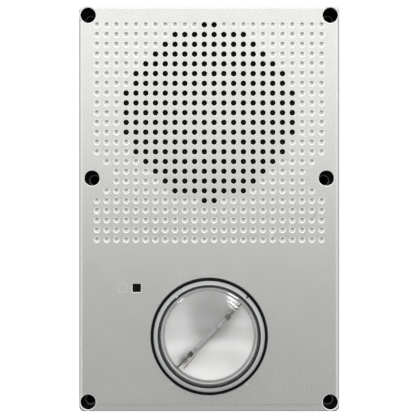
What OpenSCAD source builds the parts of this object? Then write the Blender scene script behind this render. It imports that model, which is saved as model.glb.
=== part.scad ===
// Weatherproof wall alarm with a loudspeaker above a flash lamp, without its wall box.
// In the finished frame +X is to the right, +Z is up and the front faces -Y.
// The origin is the middle of the four corner screws, on the rear face of the gasket.
// Every piece is drawn lying down, with x to the right, y up the wall and z out of the
// wall, and stand() turns it upright.

/* [Cover] */
// Width of the front cover
cover_w = 133.5; // [133.5:0.5:136]
// Height of the front cover
cover_h = 208; // [208:0.5:212]
// Depth of the front cover, from the gasket to its face
cover_depth = 20; // [20:0.5:24]
// Radius of the cover's corners, seen from the front
cover_corner_r = 2.4; // [1.5:0.1:3]
// Wall thickness of the cover
cover_wall = 2.4; // [2.2:0.1:2.6]
// Width of the bevel along the bottom edge
bottom_bevel = 3.4; // [2:0.1:3.4]
// Width of the bevel along the other edges
edge_bevel = 1.4; // [0.8:0.1:1.8]
// Thickness of the rubber gasket behind the cover
gasket_t = 2; // [1.5:0.5:3]

/* [Wall screws] */
// Distance across the corner screws
corner_dx = 124; // [123.5:0.1:124.5]
// Distance up the corner screws
corner_dy = 198; // [197.5:0.1:198.5]
// Distance across the middle screws
middle_dx = 120; // [119.5:0.1:120.5]
// Height of the middle screws above the centre
middle_y = 15.6; // [14:0.1:17]
// Diameter of the deep wells for the screw heads
well_d = 7.7; // [7.4:0.1:7.8]
// Diameter of the screw holes through the steel bushes
bush_bore_d = 4.5; // [4.2:0.1:4.8]

/* [Grille] */
// Height of the loudspeaker's centre
speaker_y = 49.1; // [48.5:0.1:49.5]
// Distance between neighbouring holes
grille_pitch = 5; // [4.8:0.1:5]
// Diameter of each hole
grille_hole_d = 2.7; // [2:0.1:3]
// Number of holes across
grille_columns = 24; // [20:2:24]
// Number of rows above the loudspeaker's centre
rows_above = 9; // [7:1:9]
// Number of rows below the loudspeaker's centre
rows_below = 13; // [9:1:13]
// Radius inside which the holes go right through
grille_open_r = 44; // [36:1:44]
// Radius around each middle screw that is left plain
plain_r = 9.4; // [7:0.1:10]
// Depth of the blind dimples outside that circle
dimple_depth = 0.8; // [0.5:0.1:1]

/* [Loudspeaker] */
// Radius of the basket's flange
flange_r = 50.5; // [50:0.1:51]
// Radius of the circle of the flange's screws
ear_r = 56; // [55.5:0.1:56.5]
// Radius of the paper cone at its edge
cone_r = 35; // [34:0.5:36]
// Radius of the voice coil's former
coil_r = 12.7; // [12.6:0.05:12.8]
// Radius of the ferrite ring
magnet_r = 30; // [27:0.5:31]
// Thickness of the ferrite ring
magnet_t = 9; // [7:0.5:10]

/* [Strobe] */
// Height of the lens's centre
strobe_y = -65.4; // [-66:0.1:-65]
// Radius of the lens's drum
lens_r = 28.4; // [28:0.1:28.6]
// Wall thickness of the lens
lens_wall = 1.7; // [1.5:0.1:1.8]
// Height of the lens's crown above the face
lens_rise = 11; // [9:0.5:14]
// Width of the black seal around the lens
seal_w = 1.4; // [1.2:0.1:1.5]
// Radius of the reflector's mouth
bowl_r = 23.5; // [22.5:0.1:23.6]
// Depth of the reflector's bowl
bowl_depth = 13.9; // [12:0.1:16]
// Length of the flash tube's glass
tube_len = 24.6; // [20:0.1:26]
// Diameter of the flash tube's glass
tube_d = 2.6; // [2.2:0.1:3]
// Tilt of the flash tube
tube_angle = 45; // [30:5:60]

/* [Candela selector] */
// Distance of the candela window from the middle
window_x = -37.1; // [-37.4:0.1:-36.8]
// Height of the candela window
window_y = -40.6; // [-41:0.1:-40]
// Size of the square window
window_size = 4.3; // [3.5:0.1:4.5]
// Travel of the slider over its four positions
candela_travel = 15; // [12:1:15]

/* [Rear] */
// Depth of the rear housing behind the wall surface
rear_depth = 36; // [36:0.5:44]
// Wall thickness of the rear housing
rear_wall = 2; // [1.8:0.1:2.4]

/* [Hidden] */
$fn = 48;
eps = 0.5;                                    // how far a cutter runs past the surface it opens
face_z = gasket_t + cover_depth;              // front face of the cover
inner_z = face_z - cover_wall;                // inside of the cover's front wall
back_z = -rear_depth;                         // outside of the rear housing's back wall
rim_w = 110;                                  // inner size of the cover's inner wall
rim_h = 192;
rim_wall = 2;
house_gap = 0.6;                              // gap between the rear housing and the inner wall
house_w = rim_w - 2 * house_gap;
house_h = rim_h - 2 * house_gap;
house_front_z = gasket_t + 6;
boss_r = well_d / 2 + 0.95;                   // boss around each screw well
shelf_t = 3.5;                                // thickness under the screw well
bush_r = 3;
bush_head_r = 3.6;
bush_head_t = 0.8;
middle_wells = [[-middle_dx / 2, middle_y], [middle_dx / 2, middle_y]];
corner_wells = [for (sx = [-1, 1], sy = [-1, 1]) [sx * corner_dx / 2, sy * corner_dy / 2]];
wells = concat(corner_wells, middle_wells);

house_screws = [for (sx = [-1, 1], y = [-89.5, -12, 89.5]) [sx * 48.6, y]];
tower_r = 4.1;
cover_tower_r = 3.5;
house_floor_z = 1;                            // where the rear housing's screw towers end

speaker_gasket_t = 3;
flange_t = 1.2;
flange_z = inner_z - speaker_gasket_t - flange_t;
ears = [for (a = [45 : 90 : 315]) [ear_r * cos(a), speaker_y + ear_r * sin(a)]];
ear_pad_r = 4.5;
basket_depth = 28;                            // from the flange's rear to the magnet's plate
plate_t = 4;                                  // thickness of the magnet's steel plates
basket_back_z = flange_z - basket_depth;
plate_z = basket_back_z - plate_t;
magnet_z = plate_z - magnet_t;
yoke_z = magnet_z - plate_t;
coil_gap = 0.35;
cone_edge_z = flange_z - 2.4;
cone_neck_z = basket_back_z + 10;
cone_slope = (cone_edge_z - cone_neck_z) / (cone_r - 2 - coil_r - 0.35);
spider_z = basket_back_z + 5;

seal_t = 0.8;                                 // part of the seal under the cover's wall
lens_flange_r = 31.6;
lens_flange_t = 2;
lens_back_z = inner_z - seal_t - lens_flange_t;
lens_drum_top = face_z + 3.2;
collar_r = lens_r - lens_wall - 0.1;          // black ribbed collar just inside the lens
collar_wall = 1.4;
collar_top = face_z + 1.6;
bowl_rim_z = face_z - 1.6;
bowl_wall = 1.2;
dish_r = bowl_r - 0.5;                        // where the bowl's dish meets its steep wall
dish_rise = 8.1;
bowl_steps = 14;
bracket_t = 2;
bracket_ear_r = 37;
tube_z = face_z - 6.5;
tube_cap_len = 3;
tube_cap_r = 1.5;
lead_r = 0.4;
lead_out_r = 27.2;                            // where the tube's leads turn down to the board
band_at = 5.8;                                // trigger band's place along the tube
trigger_hole_r = 19.5;                        // where the trigger wire leaves the bowl
trigger_hole_a = 231.6;
trigger_hole_z = tube_z - 2.2;
trigger_end_r = 23.8;                        // where the trigger wire ends, behind the bowl
trigger_end_z = tube_z - 2.5;
wire_clear = 3;                               // how far the trigger wire stays from the tube's cap
wire_r = 0.22;

board_t = 1.6;
board_top_z = -9;
board_z = board_top_z - board_t;
strobe_board_w = 96;
strobe_board_low = -85;
strobe_board_high = -36;
strobe_posts = [for (sx = [-1, 1], y = [-81, -44]) [sx * 44.5, y]];
audio_board_x = 8;
audio_board_w = 36;
audio_board_low = -34;
audio_board_h = 29;
audio_posts = [[14, -7.5], [40, -30.5]];
post_r = 3.2;
pilot_r = 1.2;

slider_w = 6.5;
slider_t = 1.2;
pane_t = 1.2;
slider_z = inner_z - pane_t - 0.4 - slider_t;
slider_len = candela_travel + 6;
slider_low = window_y - 3;
stem_w = 3;
stem_y = -30;
knob_proud = 3;

transformer_x = -16;
transformer_ears = [[-23, 9], [22, 9]];       // its bracket's screws, from its centre
transformer_y = -18.5;
core_w = 36;
core_h = 28;
core_t = 15;
core_z = -20;
tap_x = 31;
tap_y = -18;
tap_body_r = 7.5;
tap_knob_r = 6.5;
tap_shaft_r = 2.95;
tap_bore_r = 3;
tap_body_z = -30;
volt_x = 18;
volt_y = -28.5;
volt_travel = 3;
terminal_w = 44;
terminal_h = 15;
terminal_y = -56;
terminal_ways = 6;
terminal_pitch = 7;
lead_tag = [20, speaker_y - 31.4, basket_back_z + 14];   // where the leads meet the loudspeaker

// Turns a piece drawn on its back so that it stands on the wall.
module stand() { rotate([90, 0, 0]) children(); }

// Puts its children at every [x, y] of a list.
module each_at(places) { for (p = places) translate([p[0], p[1], 0]) children(); }

// A rectangle with true round corners.
module round_rect(w, h, r) {
    square([w - 2 * r, h], center = true);
    square([w, h - 2 * r], center = true);
    for (sx = [-1, 1], sy = [-1, 1])
        translate([sx * (w / 2 - r), sy * (h / 2 - r)]) circle(r = r);
}

// A slab with true round corners, from z to z + t.
module slab(w, h, r, z, t) { translate([0, 0, z]) linear_extrude(t) round_rect(w, h, r); }

// A cylinder from z to z + t.
module post(r, z, t) { translate([0, 0, z]) cylinder(r = r, h = t); }

// A flat ring from z to z + t.
module ring(r_out, r_in, z, t) {
    difference() {
        post(r_out, z, t);
        post(r_in, z - eps, t + 2 * eps);
    }
}

// A block centred on x and y, from z to z + t.
module block(w, h, z, t) { translate([-w / 2, -h / 2, z]) cube([w, h, t]); }

// A screw that points forward, with its head's seat at z and a cross in the head.
module rear_screw(shank_r, len, head_r, head_t, z) {
    difference() {
        union() {
            post(head_r, z - head_t, head_t);
            post(shank_r, z, len);
        }
        block(head_r * 1.3, 0.7, z - head_t - eps, head_t * 0.6 + eps);
        block(0.7, head_r * 1.3, z - head_t - eps, head_t * 0.6 + eps);
    }
}

// A straight rod between two points.
module rod(a, b, r) {
    d = b - a;
    translate(a) rotate([0, acos(d[2] / norm(d)), atan2(d[1], d[0])]) cylinder(r = r, h = norm(d));
}

// A rod with round ends, so that the next one can turn off it.
module wire(a, b, r) {
    rod(a, b, r);
    translate(a) sphere(r = r);
    translate(b) sphere(r = r);
}

// Every place of the grille's grid, as [x, height above the loudspeaker's centre].
grille_grid = [for (c = [0 : grille_columns - 1], k = [-rows_below : rows_above])
    [(c - (grille_columns - 1) / 2) * grille_pitch, k * grille_pitch]];
function is_open(p) = norm(p) < grille_open_r
    || (abs(p[0]) < grille_pitch && abs(p[1]) < grille_open_r + 2);
function is_plain(p) = norm([abs(p[0]) - middle_dx / 2, p[1] + speaker_y - middle_y]) < plain_r;
open_holes = [for (p = grille_grid) if (is_open(p)) [p[0], p[1] + speaker_y]];
dimples = [for (p = grille_grid) if (!is_open(p) && !is_plain(p)) [p[0], p[1] + speaker_y]];

// The cover's outer block: a rounded outline cut by a bevelled section each way.
module cover_block() {
    half_w = cover_w / 2;
    half_h = cover_h / 2;
    intersection() {
        slab(cover_w, cover_h, cover_corner_r, gasket_t, cover_depth);
        rotate([90, 0, 0]) translate([0, 0, -half_h - eps]) linear_extrude(cover_h + 2 * eps)
            polygon([[-half_w - eps, 0], [-half_w - eps, face_z - edge_bevel - eps],
                [-half_w + edge_bevel, face_z], [half_w - edge_bevel, face_z],
                [half_w + eps, face_z - edge_bevel - eps], [half_w + eps, 0]]);
        rotate([90, 0, 90]) translate([0, 0, -half_w - eps]) linear_extrude(cover_w + 2 * eps)
            polygon([[-half_h - eps, 0], [-half_h - eps, face_z - bottom_bevel * 0.6 - eps],
                [-half_h + bottom_bevel, face_z], [half_h - edge_bevel, face_z],
                [half_h + eps, face_z - edge_bevel - eps], [half_h + eps, 0]]);
    }
}

// Everything solid inside the cover, before its holes are cut.
module cover_ribs() {
    difference() {
        slab(rim_w + 2 * rim_wall, rim_h + 2 * rim_wall, 3, gasket_t, inner_z - gasket_t + eps);
        slab(rim_w, rim_h, 2, gasket_t - eps, cover_depth);
        translate([0, speaker_y, 0]) post(flange_r + 0.6, flange_z - 0.6, cover_depth);
        translate([0, strobe_y, 0]) post(lens_flange_r + 0.5, lens_back_z - bracket_t - 0.6, cover_depth);
    }
    intersection() {
        slab(cover_w, cover_h, cover_corner_r, gasket_t, cover_depth);
        each_at(wells) post(boss_r, gasket_t, cover_depth);
    }
    each_at(house_screws) post(cover_tower_r, house_floor_z + 0.2, inner_z - house_floor_z);
    each_at(ears) post(post_r, flange_z + flange_t, speaker_gasket_t + eps);
    each_at(strobe_posts) post(post_r, board_top_z, inner_z - board_top_z + eps);
    each_at(audio_posts) post(post_r, board_top_z, inner_z - board_top_z + eps);
    translate([transformer_x, transformer_y, 0]) each_at(transformer_ears)
        post(post_r, core_z + core_t + 1.2, inner_z - core_z - core_t - 1.2 + eps);
    translate([0, strobe_y, 0])
        for (a = [45 : 90 : 315]) rotate(a) translate([bracket_ear_r, 0, 0])
            post(post_r, lens_back_z, inner_z - lens_back_z + eps);
}

module front_cover() {
    color("gainsboro") stand() difference() {
        union() {
            difference() {
                cover_block();
                slab(cover_w - 2 * cover_wall, cover_h - 2 * cover_wall, 1.4, gasket_t - eps,
                    cover_depth - cover_wall + eps);
            }
            cover_ribs();
        }
        each_at(wells) {
            post(well_d / 2, gasket_t + shelf_t, cover_depth);
            post(bush_r + 0.05, 0, gasket_t + shelf_t + eps);
        }
        each_at(open_holes) post(grille_hole_d / 2, inner_z - eps, cover_wall + 2 * eps);
        each_at(dimples) post(grille_hole_d / 2, face_z - dimple_depth, dimple_depth + eps);
        each_at(house_screws) post(pilot_r, 0, 14);
        each_at(ears) post(pilot_r, 0, inner_z);
        each_at(strobe_posts) post(pilot_r, board_top_z - eps, 8);
        each_at(audio_posts) post(pilot_r, board_top_z - eps, 8);
        translate([transformer_x, transformer_y, 0]) each_at(transformer_ears)
            post(pilot_r, core_z + core_t, 9);
        translate([0, strobe_y, 0]) {
            post(lens_r + seal_w + 0.1, inner_z - eps, cover_wall + 2 * eps);
            for (a = [45 : 90 : 315]) rotate(a) translate([bracket_ear_r, 0, 0])
                post(pilot_r, lens_back_z - eps, 4);
        }
        translate([window_x, window_y, 0])
            slab(window_size, window_size, 0.4, inner_z - eps, cover_wall + 2 * eps);
    }
}

module perimeter_gasket() {
    color("dimgray") stand() difference() {
        slab(cover_w - 1.5, cover_h - 1.5, cover_corner_r, 0, gasket_t);
        slab(rim_w - 0.8, rim_h + 0.4, 3, -eps, gasket_t + 2 * eps);
        each_at(wells) post(bush_r + 0.1, -eps, gasket_t + 2 * eps);
    }
}

module compression_bushes() {
    color("silver") stand() each_at(wells) difference() {
        union() {
            post(bush_r, 0, gasket_t + shelf_t);
            post(bush_head_r, gasket_t + shelf_t, bush_head_t);
        }
        post(bush_bore_d / 2, -eps, gasket_t + shelf_t + bush_head_t + 2 * eps);
    }
}

module lens_seal() {
    color([0.05, 0.05, 0.05]) stand() translate([0, strobe_y, 0]) difference() {
        union() {
            post(lens_flange_r, inner_z - seal_t, seal_t);
            post(lens_r + seal_w, inner_z, cover_wall + 0.2);
        }
        difference() {
            post(lens_r + 0.05, inner_z - seal_t - eps, cover_wall + seal_t + 2 * eps);
            rotate(tube_angle + 1) translate([lens_r + 0.4, 0, 0])
                block(3, 0.9, inner_z + 0.1, cover_wall + 0.1);
        }
    }
}

// Half section of a domed cap of radius r that ends at height top, on a drum up to drum_top.
module cap_section(r, bottom, drum_top, top) {
    rise = top - drum_top;
    sphere_r = (r * r + rise * rise) / (2 * rise);
    translate([0, bottom]) square([r, drum_top - bottom]);
    intersection() {
        translate([0, top - sphere_r]) circle(r = sphere_r, $fn = 96);
        translate([0, drum_top - eps]) square([r, rise + 2 * eps]);
    }
}

module strobe_lens() {
    crown = face_z + lens_rise;
    color([0.85, 0.88, 0.9, 0.4]) stand() translate([0, strobe_y, 0]) {
        difference() {
            rotate_extrude() difference() {
                union() {
                    cap_section(lens_r, lens_back_z, lens_drum_top, crown);
                    translate([0, lens_back_z]) square([lens_flange_r, lens_flange_t]);
                }
                cap_section(lens_r - lens_wall, lens_back_z - eps, lens_drum_top, crown - lens_wall);
            }
            rotate(tube_angle + 1) translate([lens_r + 1, 0, 0]) block(4.4, 1, inner_z, 5);
        }
    }
}

module strobe_bracket() {
    color([0.08, 0.08, 0.08]) stand() translate([0, strobe_y, 0]) difference() {
        union() {
            ring(collar_r, collar_r - collar_wall, lens_back_z - bracket_t, collar_top
                - lens_back_z + bracket_t);
            ring(lens_flange_r, collar_r - collar_wall, lens_back_z - bracket_t, bracket_t);
            for (a = [45 : 90 : 315]) rotate(a) {
                translate([bracket_ear_r, 0, 0]) post(4, lens_back_z - bracket_t, bracket_t);
                translate([lens_flange_r + 1.5, 0, 0]) block(7, 8, lens_back_z - bracket_t, bracket_t);
            }
            ring(collar_r, bowl_r + bowl_wall + 0.15, bowl_rim_z - 2, 1.4);
        }
        for (a = [45 : 90 : 315]) rotate(a) translate([bracket_ear_r, 0, 0])
            post(1.6, lens_back_z - bracket_t - eps, bracket_t + 2 * eps);
        for (turn = [0, 180]) rotate(tube_angle + turn)
            translate([lead_out_r - 1.5, 0, 0]) block(7, 3, lens_back_z - bracket_t - eps, 5);
    }
}

module bracket_screws() {
    color("silver") stand() translate([0, strobe_y, 0])
        for (a = [45 : 90 : 315]) rotate(a) translate([bracket_ear_r, 0, 0])
            rear_screw(1.2, 5, 2.6, 1.6, lens_back_z - bracket_t);
}

// Points of the bowl's curve from its bottom to its rim: a dish, then a steep wall.
function bowl_curve(grow) = concat([for (i = [0 : bowl_steps])
    [(dish_r + grow) * i / bowl_steps, bowl_rim_z - bowl_depth - grow + dish_rise * pow(i / bowl_steps, 2)]],
    [[bowl_r + grow, bowl_rim_z]]);

module strobe_reflector() {
    inner = bowl_curve(0);
    outer = bowl_curve(bowl_wall);
    color("lightgray") stand() translate([0, strobe_y, 0]) difference() {
        union() {
            rotate_extrude() polygon(concat(inner, [for (i = [bowl_steps + 1 : -1 : 0]) outer[i]]));
            ring(collar_r - collar_wall - 0.05, bowl_r + 0.4, bowl_rim_z - 0.6, 0.6);
        }
        translate([0, 0, tube_z]) rotate([0, 90, tube_angle]) translate([0, 0, -30])
            cylinder(r = 1, h = 60);
        translate([0, 0, trigger_hole_z]) rotate([0, 90, trigger_hole_a])
            translate([0, 0, trigger_hole_r]) cylinder(r = 0.9, h = 6);
    }
}

// Draws its children along the flash tube, with their z along the glass.
module along_tube() {
    stand() translate([0, strobe_y, tube_z]) rotate([0, 90, tube_angle]) children();
}

module flash_tube() {
    color([0.85, 0.88, 0.9, 0.4]) along_tube() ring(tube_d / 2, tube_d / 2 - 0.5,
        -tube_len / 2, tube_len);
}

module tube_electrodes() {
    color("silver") along_tube() for (turn = [0, 180]) rotate([turn, 0, 0]) {
        post(tube_cap_r, tube_len / 2, tube_cap_len);
        post(tube_d / 2 - 0.55, tube_len / 2 - 3, 3);
    }
}

module tube_leads() {
    start = tube_len / 2 + tube_cap_len;
    color("silver") stand() translate([0, strobe_y, 0])
        for (turn = [0, 180]) rotate(tube_angle + turn) {
            wire([start + lead_r, 0, tube_z], [lead_out_r, 0, tube_z], lead_r);
            translate([lead_out_r, 0, board_top_z]) cylinder(r = lead_r, h = tube_z - board_top_z);
        }
}

module trigger_wire() {
    side = tube_d / 2 + 0.25;
    along = [cos(tube_angle), sin(tube_angle)];
    glass_end = tube_len / 2 - wire_clear;
    start = -glass_end * along + side * [along[1], -along[0]];
    hole = trigger_end_r * [cos(trigger_hole_a), sin(trigger_hole_a)];
    color("peru") {
        along_tube() {
            ring(tube_d / 2 + 0.5, tube_d / 2, band_at, 0.6);
            translate([0, -side, -glass_end]) cylinder(r = wire_r, h = glass_end + band_at);
        }
        stand() translate([0, strobe_y, 0])
            rod([start[0], start[1], tube_z + 0.1], [hole[0], hole[1], trigger_end_z], wire_r * 1.4);
    }
}

module window_pane() {
    color([0.3, 0.3, 0.32, 0.6]) stand() translate([window_x, window_y, 0])
        slab(window_size + 3, window_size + 3, 0.6, inner_z - pane_t, pane_t);
}

module candela_slider() {
    color([0.1, 0.1, 0.1]) stand() {
        translate([window_x, slider_low + slider_len / 2, 0])
            slab(slider_w, slider_len, 0.8, slider_z, slider_t);
        translate([window_x, stem_y, 0]) {
            block(stem_w, stem_w, back_z - knob_proud + 1.5, slider_z - back_z + knob_proud - 1.5);
            difference() {
                slab(7.6, 5.6, 1, back_z - knob_proud, 2.4);
                block(8, 0.8, back_z - knob_proud - eps, 0.6 + eps);
            }
        }
    }
}

module acoustic_screen() {
    color([0.15, 0.15, 0.15]) stand() translate([0, speaker_y, 0])
        post(grille_open_r + 1.4, inner_z - 0.5, 0.5);
}

module speaker_gasket() {
    color([0.1, 0.1, 0.1]) stand() translate([0, speaker_y, 0])
        ring(flange_r - 0.5, grille_open_r + 1.5, flange_z + flange_t, speaker_gasket_t);
}

module speaker_basket() {
    back_r = magnet_r - 3;
    neck_r = coil_r + 2;
    top = flange_z + flange_t;
    color("slategray") stand() difference() {
        union() {
            translate([0, speaker_y, 0]) {
                rotate_extrude() polygon([[42.8, top], [42.8, cone_edge_z], [40.6, cone_edge_z],
                    [40.6, cone_edge_z - 1], [back_r - 0.6, basket_back_z + 1.2],
                    [neck_r, basket_back_z + 1.2], [neck_r, basket_back_z],
                    [back_r + 0.4, basket_back_z], [41.6, cone_edge_z - 1.2],
                    [43.8, cone_edge_z - 1], [43.8, flange_z], [flange_r, flange_z],
                    [flange_r, top]]);
                ring(29.2, 26.9, spider_z - 0.8, 0.8);
                for (a = [45 : 90 : 315]) rotate(a) translate([52, 0, 0])
                    block(9.4, 2 * ear_pad_r - 1.4, flange_z, flange_t);
            }
            each_at(ears) post(ear_pad_r, flange_z, flange_t);
        }
        each_at(ears) post(1.7, flange_z - eps, flange_t + 2 * eps);
        translate([0, speaker_y, 0]) for (a = [30 : 60 : 330]) rotate(a)
            translate([34, 0, 0]) block(17, 18, basket_back_z + 6, 14);
    }
}

module speaker_screws() {
    color("silver") stand() each_at(ears) rear_screw(1.2, 4, 2.8, 1.8, flange_z);
}

module cone_surround() {
    roll_r = 2.6;
    roll_mid = cone_r + 0.5 + roll_r;
    color([0.12, 0.12, 0.12]) stand() translate([0, speaker_y, cone_edge_z]) {
        rotate_extrude() translate([roll_mid, 0]) intersection() {
            difference() {
                circle(r = roll_r);
                circle(r = roll_r - 0.5);
            }
            translate([-roll_r, 0]) square([2 * roll_r, roll_r]);
        }
        ring(42.6, roll_mid + roll_r - 0.5, 0, 0.5);
        ring(cone_r + 1, cone_r - 2, 0.05, 0.5);
    }
}

module speaker_cone() {
    wall_r = 0.6;
    color([0.18, 0.18, 0.18]) stand() translate([0, speaker_y, 0]) rotate_extrude()
        polygon([[coil_r + 0.35, cone_neck_z], [coil_r + 0.35 + wall_r, cone_neck_z - 0.2],
            [cone_r - 1.6, cone_edge_z - wall_r], [cone_r, cone_edge_z - wall_r],
            [cone_r, cone_edge_z], [cone_r - 2, cone_edge_z]]);
}

module dust_cap() {
    cap_r = coil_r + 4;
    rise = 5;
    ball_r = (cap_r * cap_r + rise * rise) / (2 * rise);
    low = cone_neck_z + 3.65 * cone_slope + 0.05;
    color([0.1, 0.1, 0.1]) stand() translate([0, speaker_y, 0]) rotate_extrude() intersection() {
        difference() {
            translate([0, low + rise - ball_r]) circle(r = ball_r, $fn = 96);
            translate([0, low + rise - ball_r]) circle(r = ball_r - 0.5, $fn = 96);
        }
        translate([0, low]) square([cap_r, rise + eps]);
    }
}

module voice_coil() {
    color("peru") stand() translate([0, speaker_y, 0])
        ring(coil_r + 0.3, coil_r, basket_back_z - 4, cone_neck_z - basket_back_z + 7);
}

module spider() {
    color("goldenrod") stand() translate([0, speaker_y, spider_z]) rotate_extrude()
        for (i = [0 : 4]) translate([coil_r + 2.1 + i * 2.8, 0]) intersection() {
            difference() {
                circle(r = 1.6);
                circle(r = 1.2);
            }
            translate([-2, i % 2 == 0 ? 0 : -2]) square([4, 2]);
        }
}

module magnet_front_plate() {
    color("silver") stand() translate([0, speaker_y, 0])
        ring(magnet_r - 3, coil_r + 0.3 + coil_gap, plate_z, plate_t);
}

module ferrite_magnet() {
    color([0.2, 0.2, 0.22]) stand() translate([0, speaker_y, 0])
        ring(magnet_r, coil_r + 3, magnet_z, magnet_t);
}

module magnet_yoke() {
    color("silver") stand() translate([0, speaker_y, 0]) {
        post(magnet_r - 3, yoke_z, plate_t);
        post(coil_r - coil_gap, yoke_z + plate_t - eps, magnet_t + plate_t + eps);
    }
}

// Draws its children at the line transformer's centre.
module at_transformer() { stand() translate([transformer_x, transformer_y, 0]) children(); }

module transformer_core() {
    limb = core_w / 6;
    color("slategray") at_transformer() difference() {
        block(core_w, core_h, core_z, core_t);
        for (side = [-1, 1]) translate([side * limb * 1.5, 0, 0])
            block(limb, core_h - 2 * limb, core_z - eps, core_t + 2 * eps);
    }
}

module transformer_bobbin() {
    limb = core_w / 6;
    color("ivory") at_transformer() difference() {
        union() {
            for (end = [-1, 1]) translate([0, end * (core_h / 2 - limb - 0.6), 0])
                block(4 * limb - 0.4, 1, core_z - 4, core_t + 8);
            block(2 * limb + 2, core_h - 2 * limb - 0.4, core_z - 1.2, core_t + 2.4);
        }
        block(2 * limb, core_h, core_z, core_t);
    }
}

module transformer_winding() {
    limb = core_w / 6;
    color("orange") at_transformer() difference() {
        block(4 * limb - 1.2, core_h - 2 * limb - 2.6, core_z - 3.6, core_t + 7.2);
        block(2 * limb + 2.1, core_h, core_z - 1.3, core_t + 2.6);
    }
}

module transformer_bracket() {
    limb = core_w / 6;
    color("silver") at_transformer() difference() {
        union() {
            for (side = [-1, 1]) translate([side * (core_w / 2 + 1.6), 9, 0])
                block(5.6, 9.5, core_z + core_t, 1.2);
            translate([-core_w / 2 - 4, core_h / 2 - limb + 0.6, core_z + core_t])
                cube([core_w + 8, limb - 0.6, 1.2]);
            each_at(transformer_ears) post(4, core_z + core_t, 1.2);
        }
        each_at(transformer_ears) post(1.6, core_z + core_t - eps, 2.2);
    }
}

module transformer_screws() {
    color("silver") at_transformer() each_at(transformer_ears)
        rear_screw(1.2, 7, 2.4, 1.6, core_z + core_t);
}

module strobe_board() {
    mid_y = (strobe_board_low + strobe_board_high) / 2;
    color("darkgreen") stand() difference() {
        translate([0, mid_y, 0]) slab(strobe_board_w, strobe_board_high - strobe_board_low, 1.5,
            board_z, board_t);
        each_at(strobe_posts) post(1.6, board_z - eps, board_t + 2 * eps);
        translate([window_x, stem_y - candela_travel / 2, 0])
            block(stem_w + 1.4, candela_travel + stem_w + 2, board_z - eps, board_t + 2 * eps);
    }
}

module flash_capacitor() {
    color([0.12, 0.13, 0.2]) stand() translate([-30, -75, board_z - 8.2]) rotate([0, 90, 0])
        union() {
            cylinder(r = 8, h = 31);
            translate([0, 0, 31]) cylinder(r = 7.2, h = 0.8);
        }
}

module trigger_coil() {
    color("black") stand() translate([16, -76, 0]) difference() {
        slab(12, 10, 1.5, board_z - 9, 9);
        post(1.6, board_z - 9 - eps, 3);
    }
}

module power_inductor() {
    color("peru") stand() translate([31, -75, 0]) {
        ring(6, 2, board_z - 9, 1.2);
        ring(4.6, 2, board_z - 7.8, 6.6);
        ring(6, 2, board_z - 1.2, 1.2);
    }
}

module audio_board() {
    color("darkgreen") stand() difference() {
        translate([audio_board_x + audio_board_w / 2, audio_board_low + audio_board_h / 2, 0])
            slab(audio_board_w, audio_board_h, 1.5, board_z, board_t);
        each_at(audio_posts) post(1.6, board_z - eps, board_t + 2 * eps);
    }
}

module blocking_capacitor() {
    color("royalblue") stand() translate([17, -16, 0]) {
        post(5, board_z - 13, 13);
        post(4.4, board_z - 13.5, 0.5);
    }
}

module board_screws() {
    color("silver") stand() each_at(concat(strobe_posts, audio_posts))
        rear_screw(1.2, 6, 2.6, 1.8, board_z);
}

module tap_switch() {
    color([0.1, 0.1, 0.1]) stand() translate([tap_x, tap_y, 0]) difference() {
        union() {
            post(tap_body_r, tap_body_z, board_z - tap_body_z);
            block(17, 11, board_z - 6, 6);
        }
        post(tap_bore_r, tap_body_z - eps, 10 + eps);
    }
}

module tap_knob() {
    color("white") stand() translate([tap_x, tap_y, 0]) difference() {
        union() {
            post(tap_shaft_r, tap_body_z - 2, 11);
            post(tap_knob_r, back_z - knob_proud, tap_body_z - 0.4 - back_z + knob_proud);
        }
        block(11, 1.6, back_z - knob_proud - eps, 2.5 + eps);
        translate([0, 5, 0]) block(0.8, 2, back_z - knob_proud - eps, 1 + eps);
    }
}

module voltage_switch() {
    color("silver") stand() translate([volt_x, volt_y, 0]) difference() {
        block(13, 6, board_z - 21, 21);
        block(4.4 + volt_travel, 3.4, board_z - 21 - eps, 6 + eps);
    }
}

module voltage_slider() {
    color("white") stand() translate([volt_x - volt_travel / 2, volt_y, 0])
        block(3.6, 2.6, back_z - 1.5, 9);
}

module terminal_block() {
    color("darkslategray") stand() translate([0, terminal_y, 0]) difference() {
        block(terminal_w, terminal_h, back_z, board_z - back_z);
        for (i = [0 : terminal_ways - 1])
            translate([(i - (terminal_ways - 1) / 2) * terminal_pitch, 0, 0]) {
                translate([0, 3.2, 0]) post(2.3, back_z - eps, 8 + eps);
                translate([0, -3.6, 0]) block(4, 3.6, back_z - eps, 9 + eps);
            }
    }
}

module terminal_screws() {
    color("gold") stand() translate([0, terminal_y + 3.2, 0]) for (i = [0 : terminal_ways - 1])
        translate([(i - (terminal_ways - 1) / 2) * terminal_pitch, 0, 0]) difference() {
            post(2, back_z + 3, 5);
            block(3.4, 0.7, back_z + 3 - eps, 1 + eps);
        }
}

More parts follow.
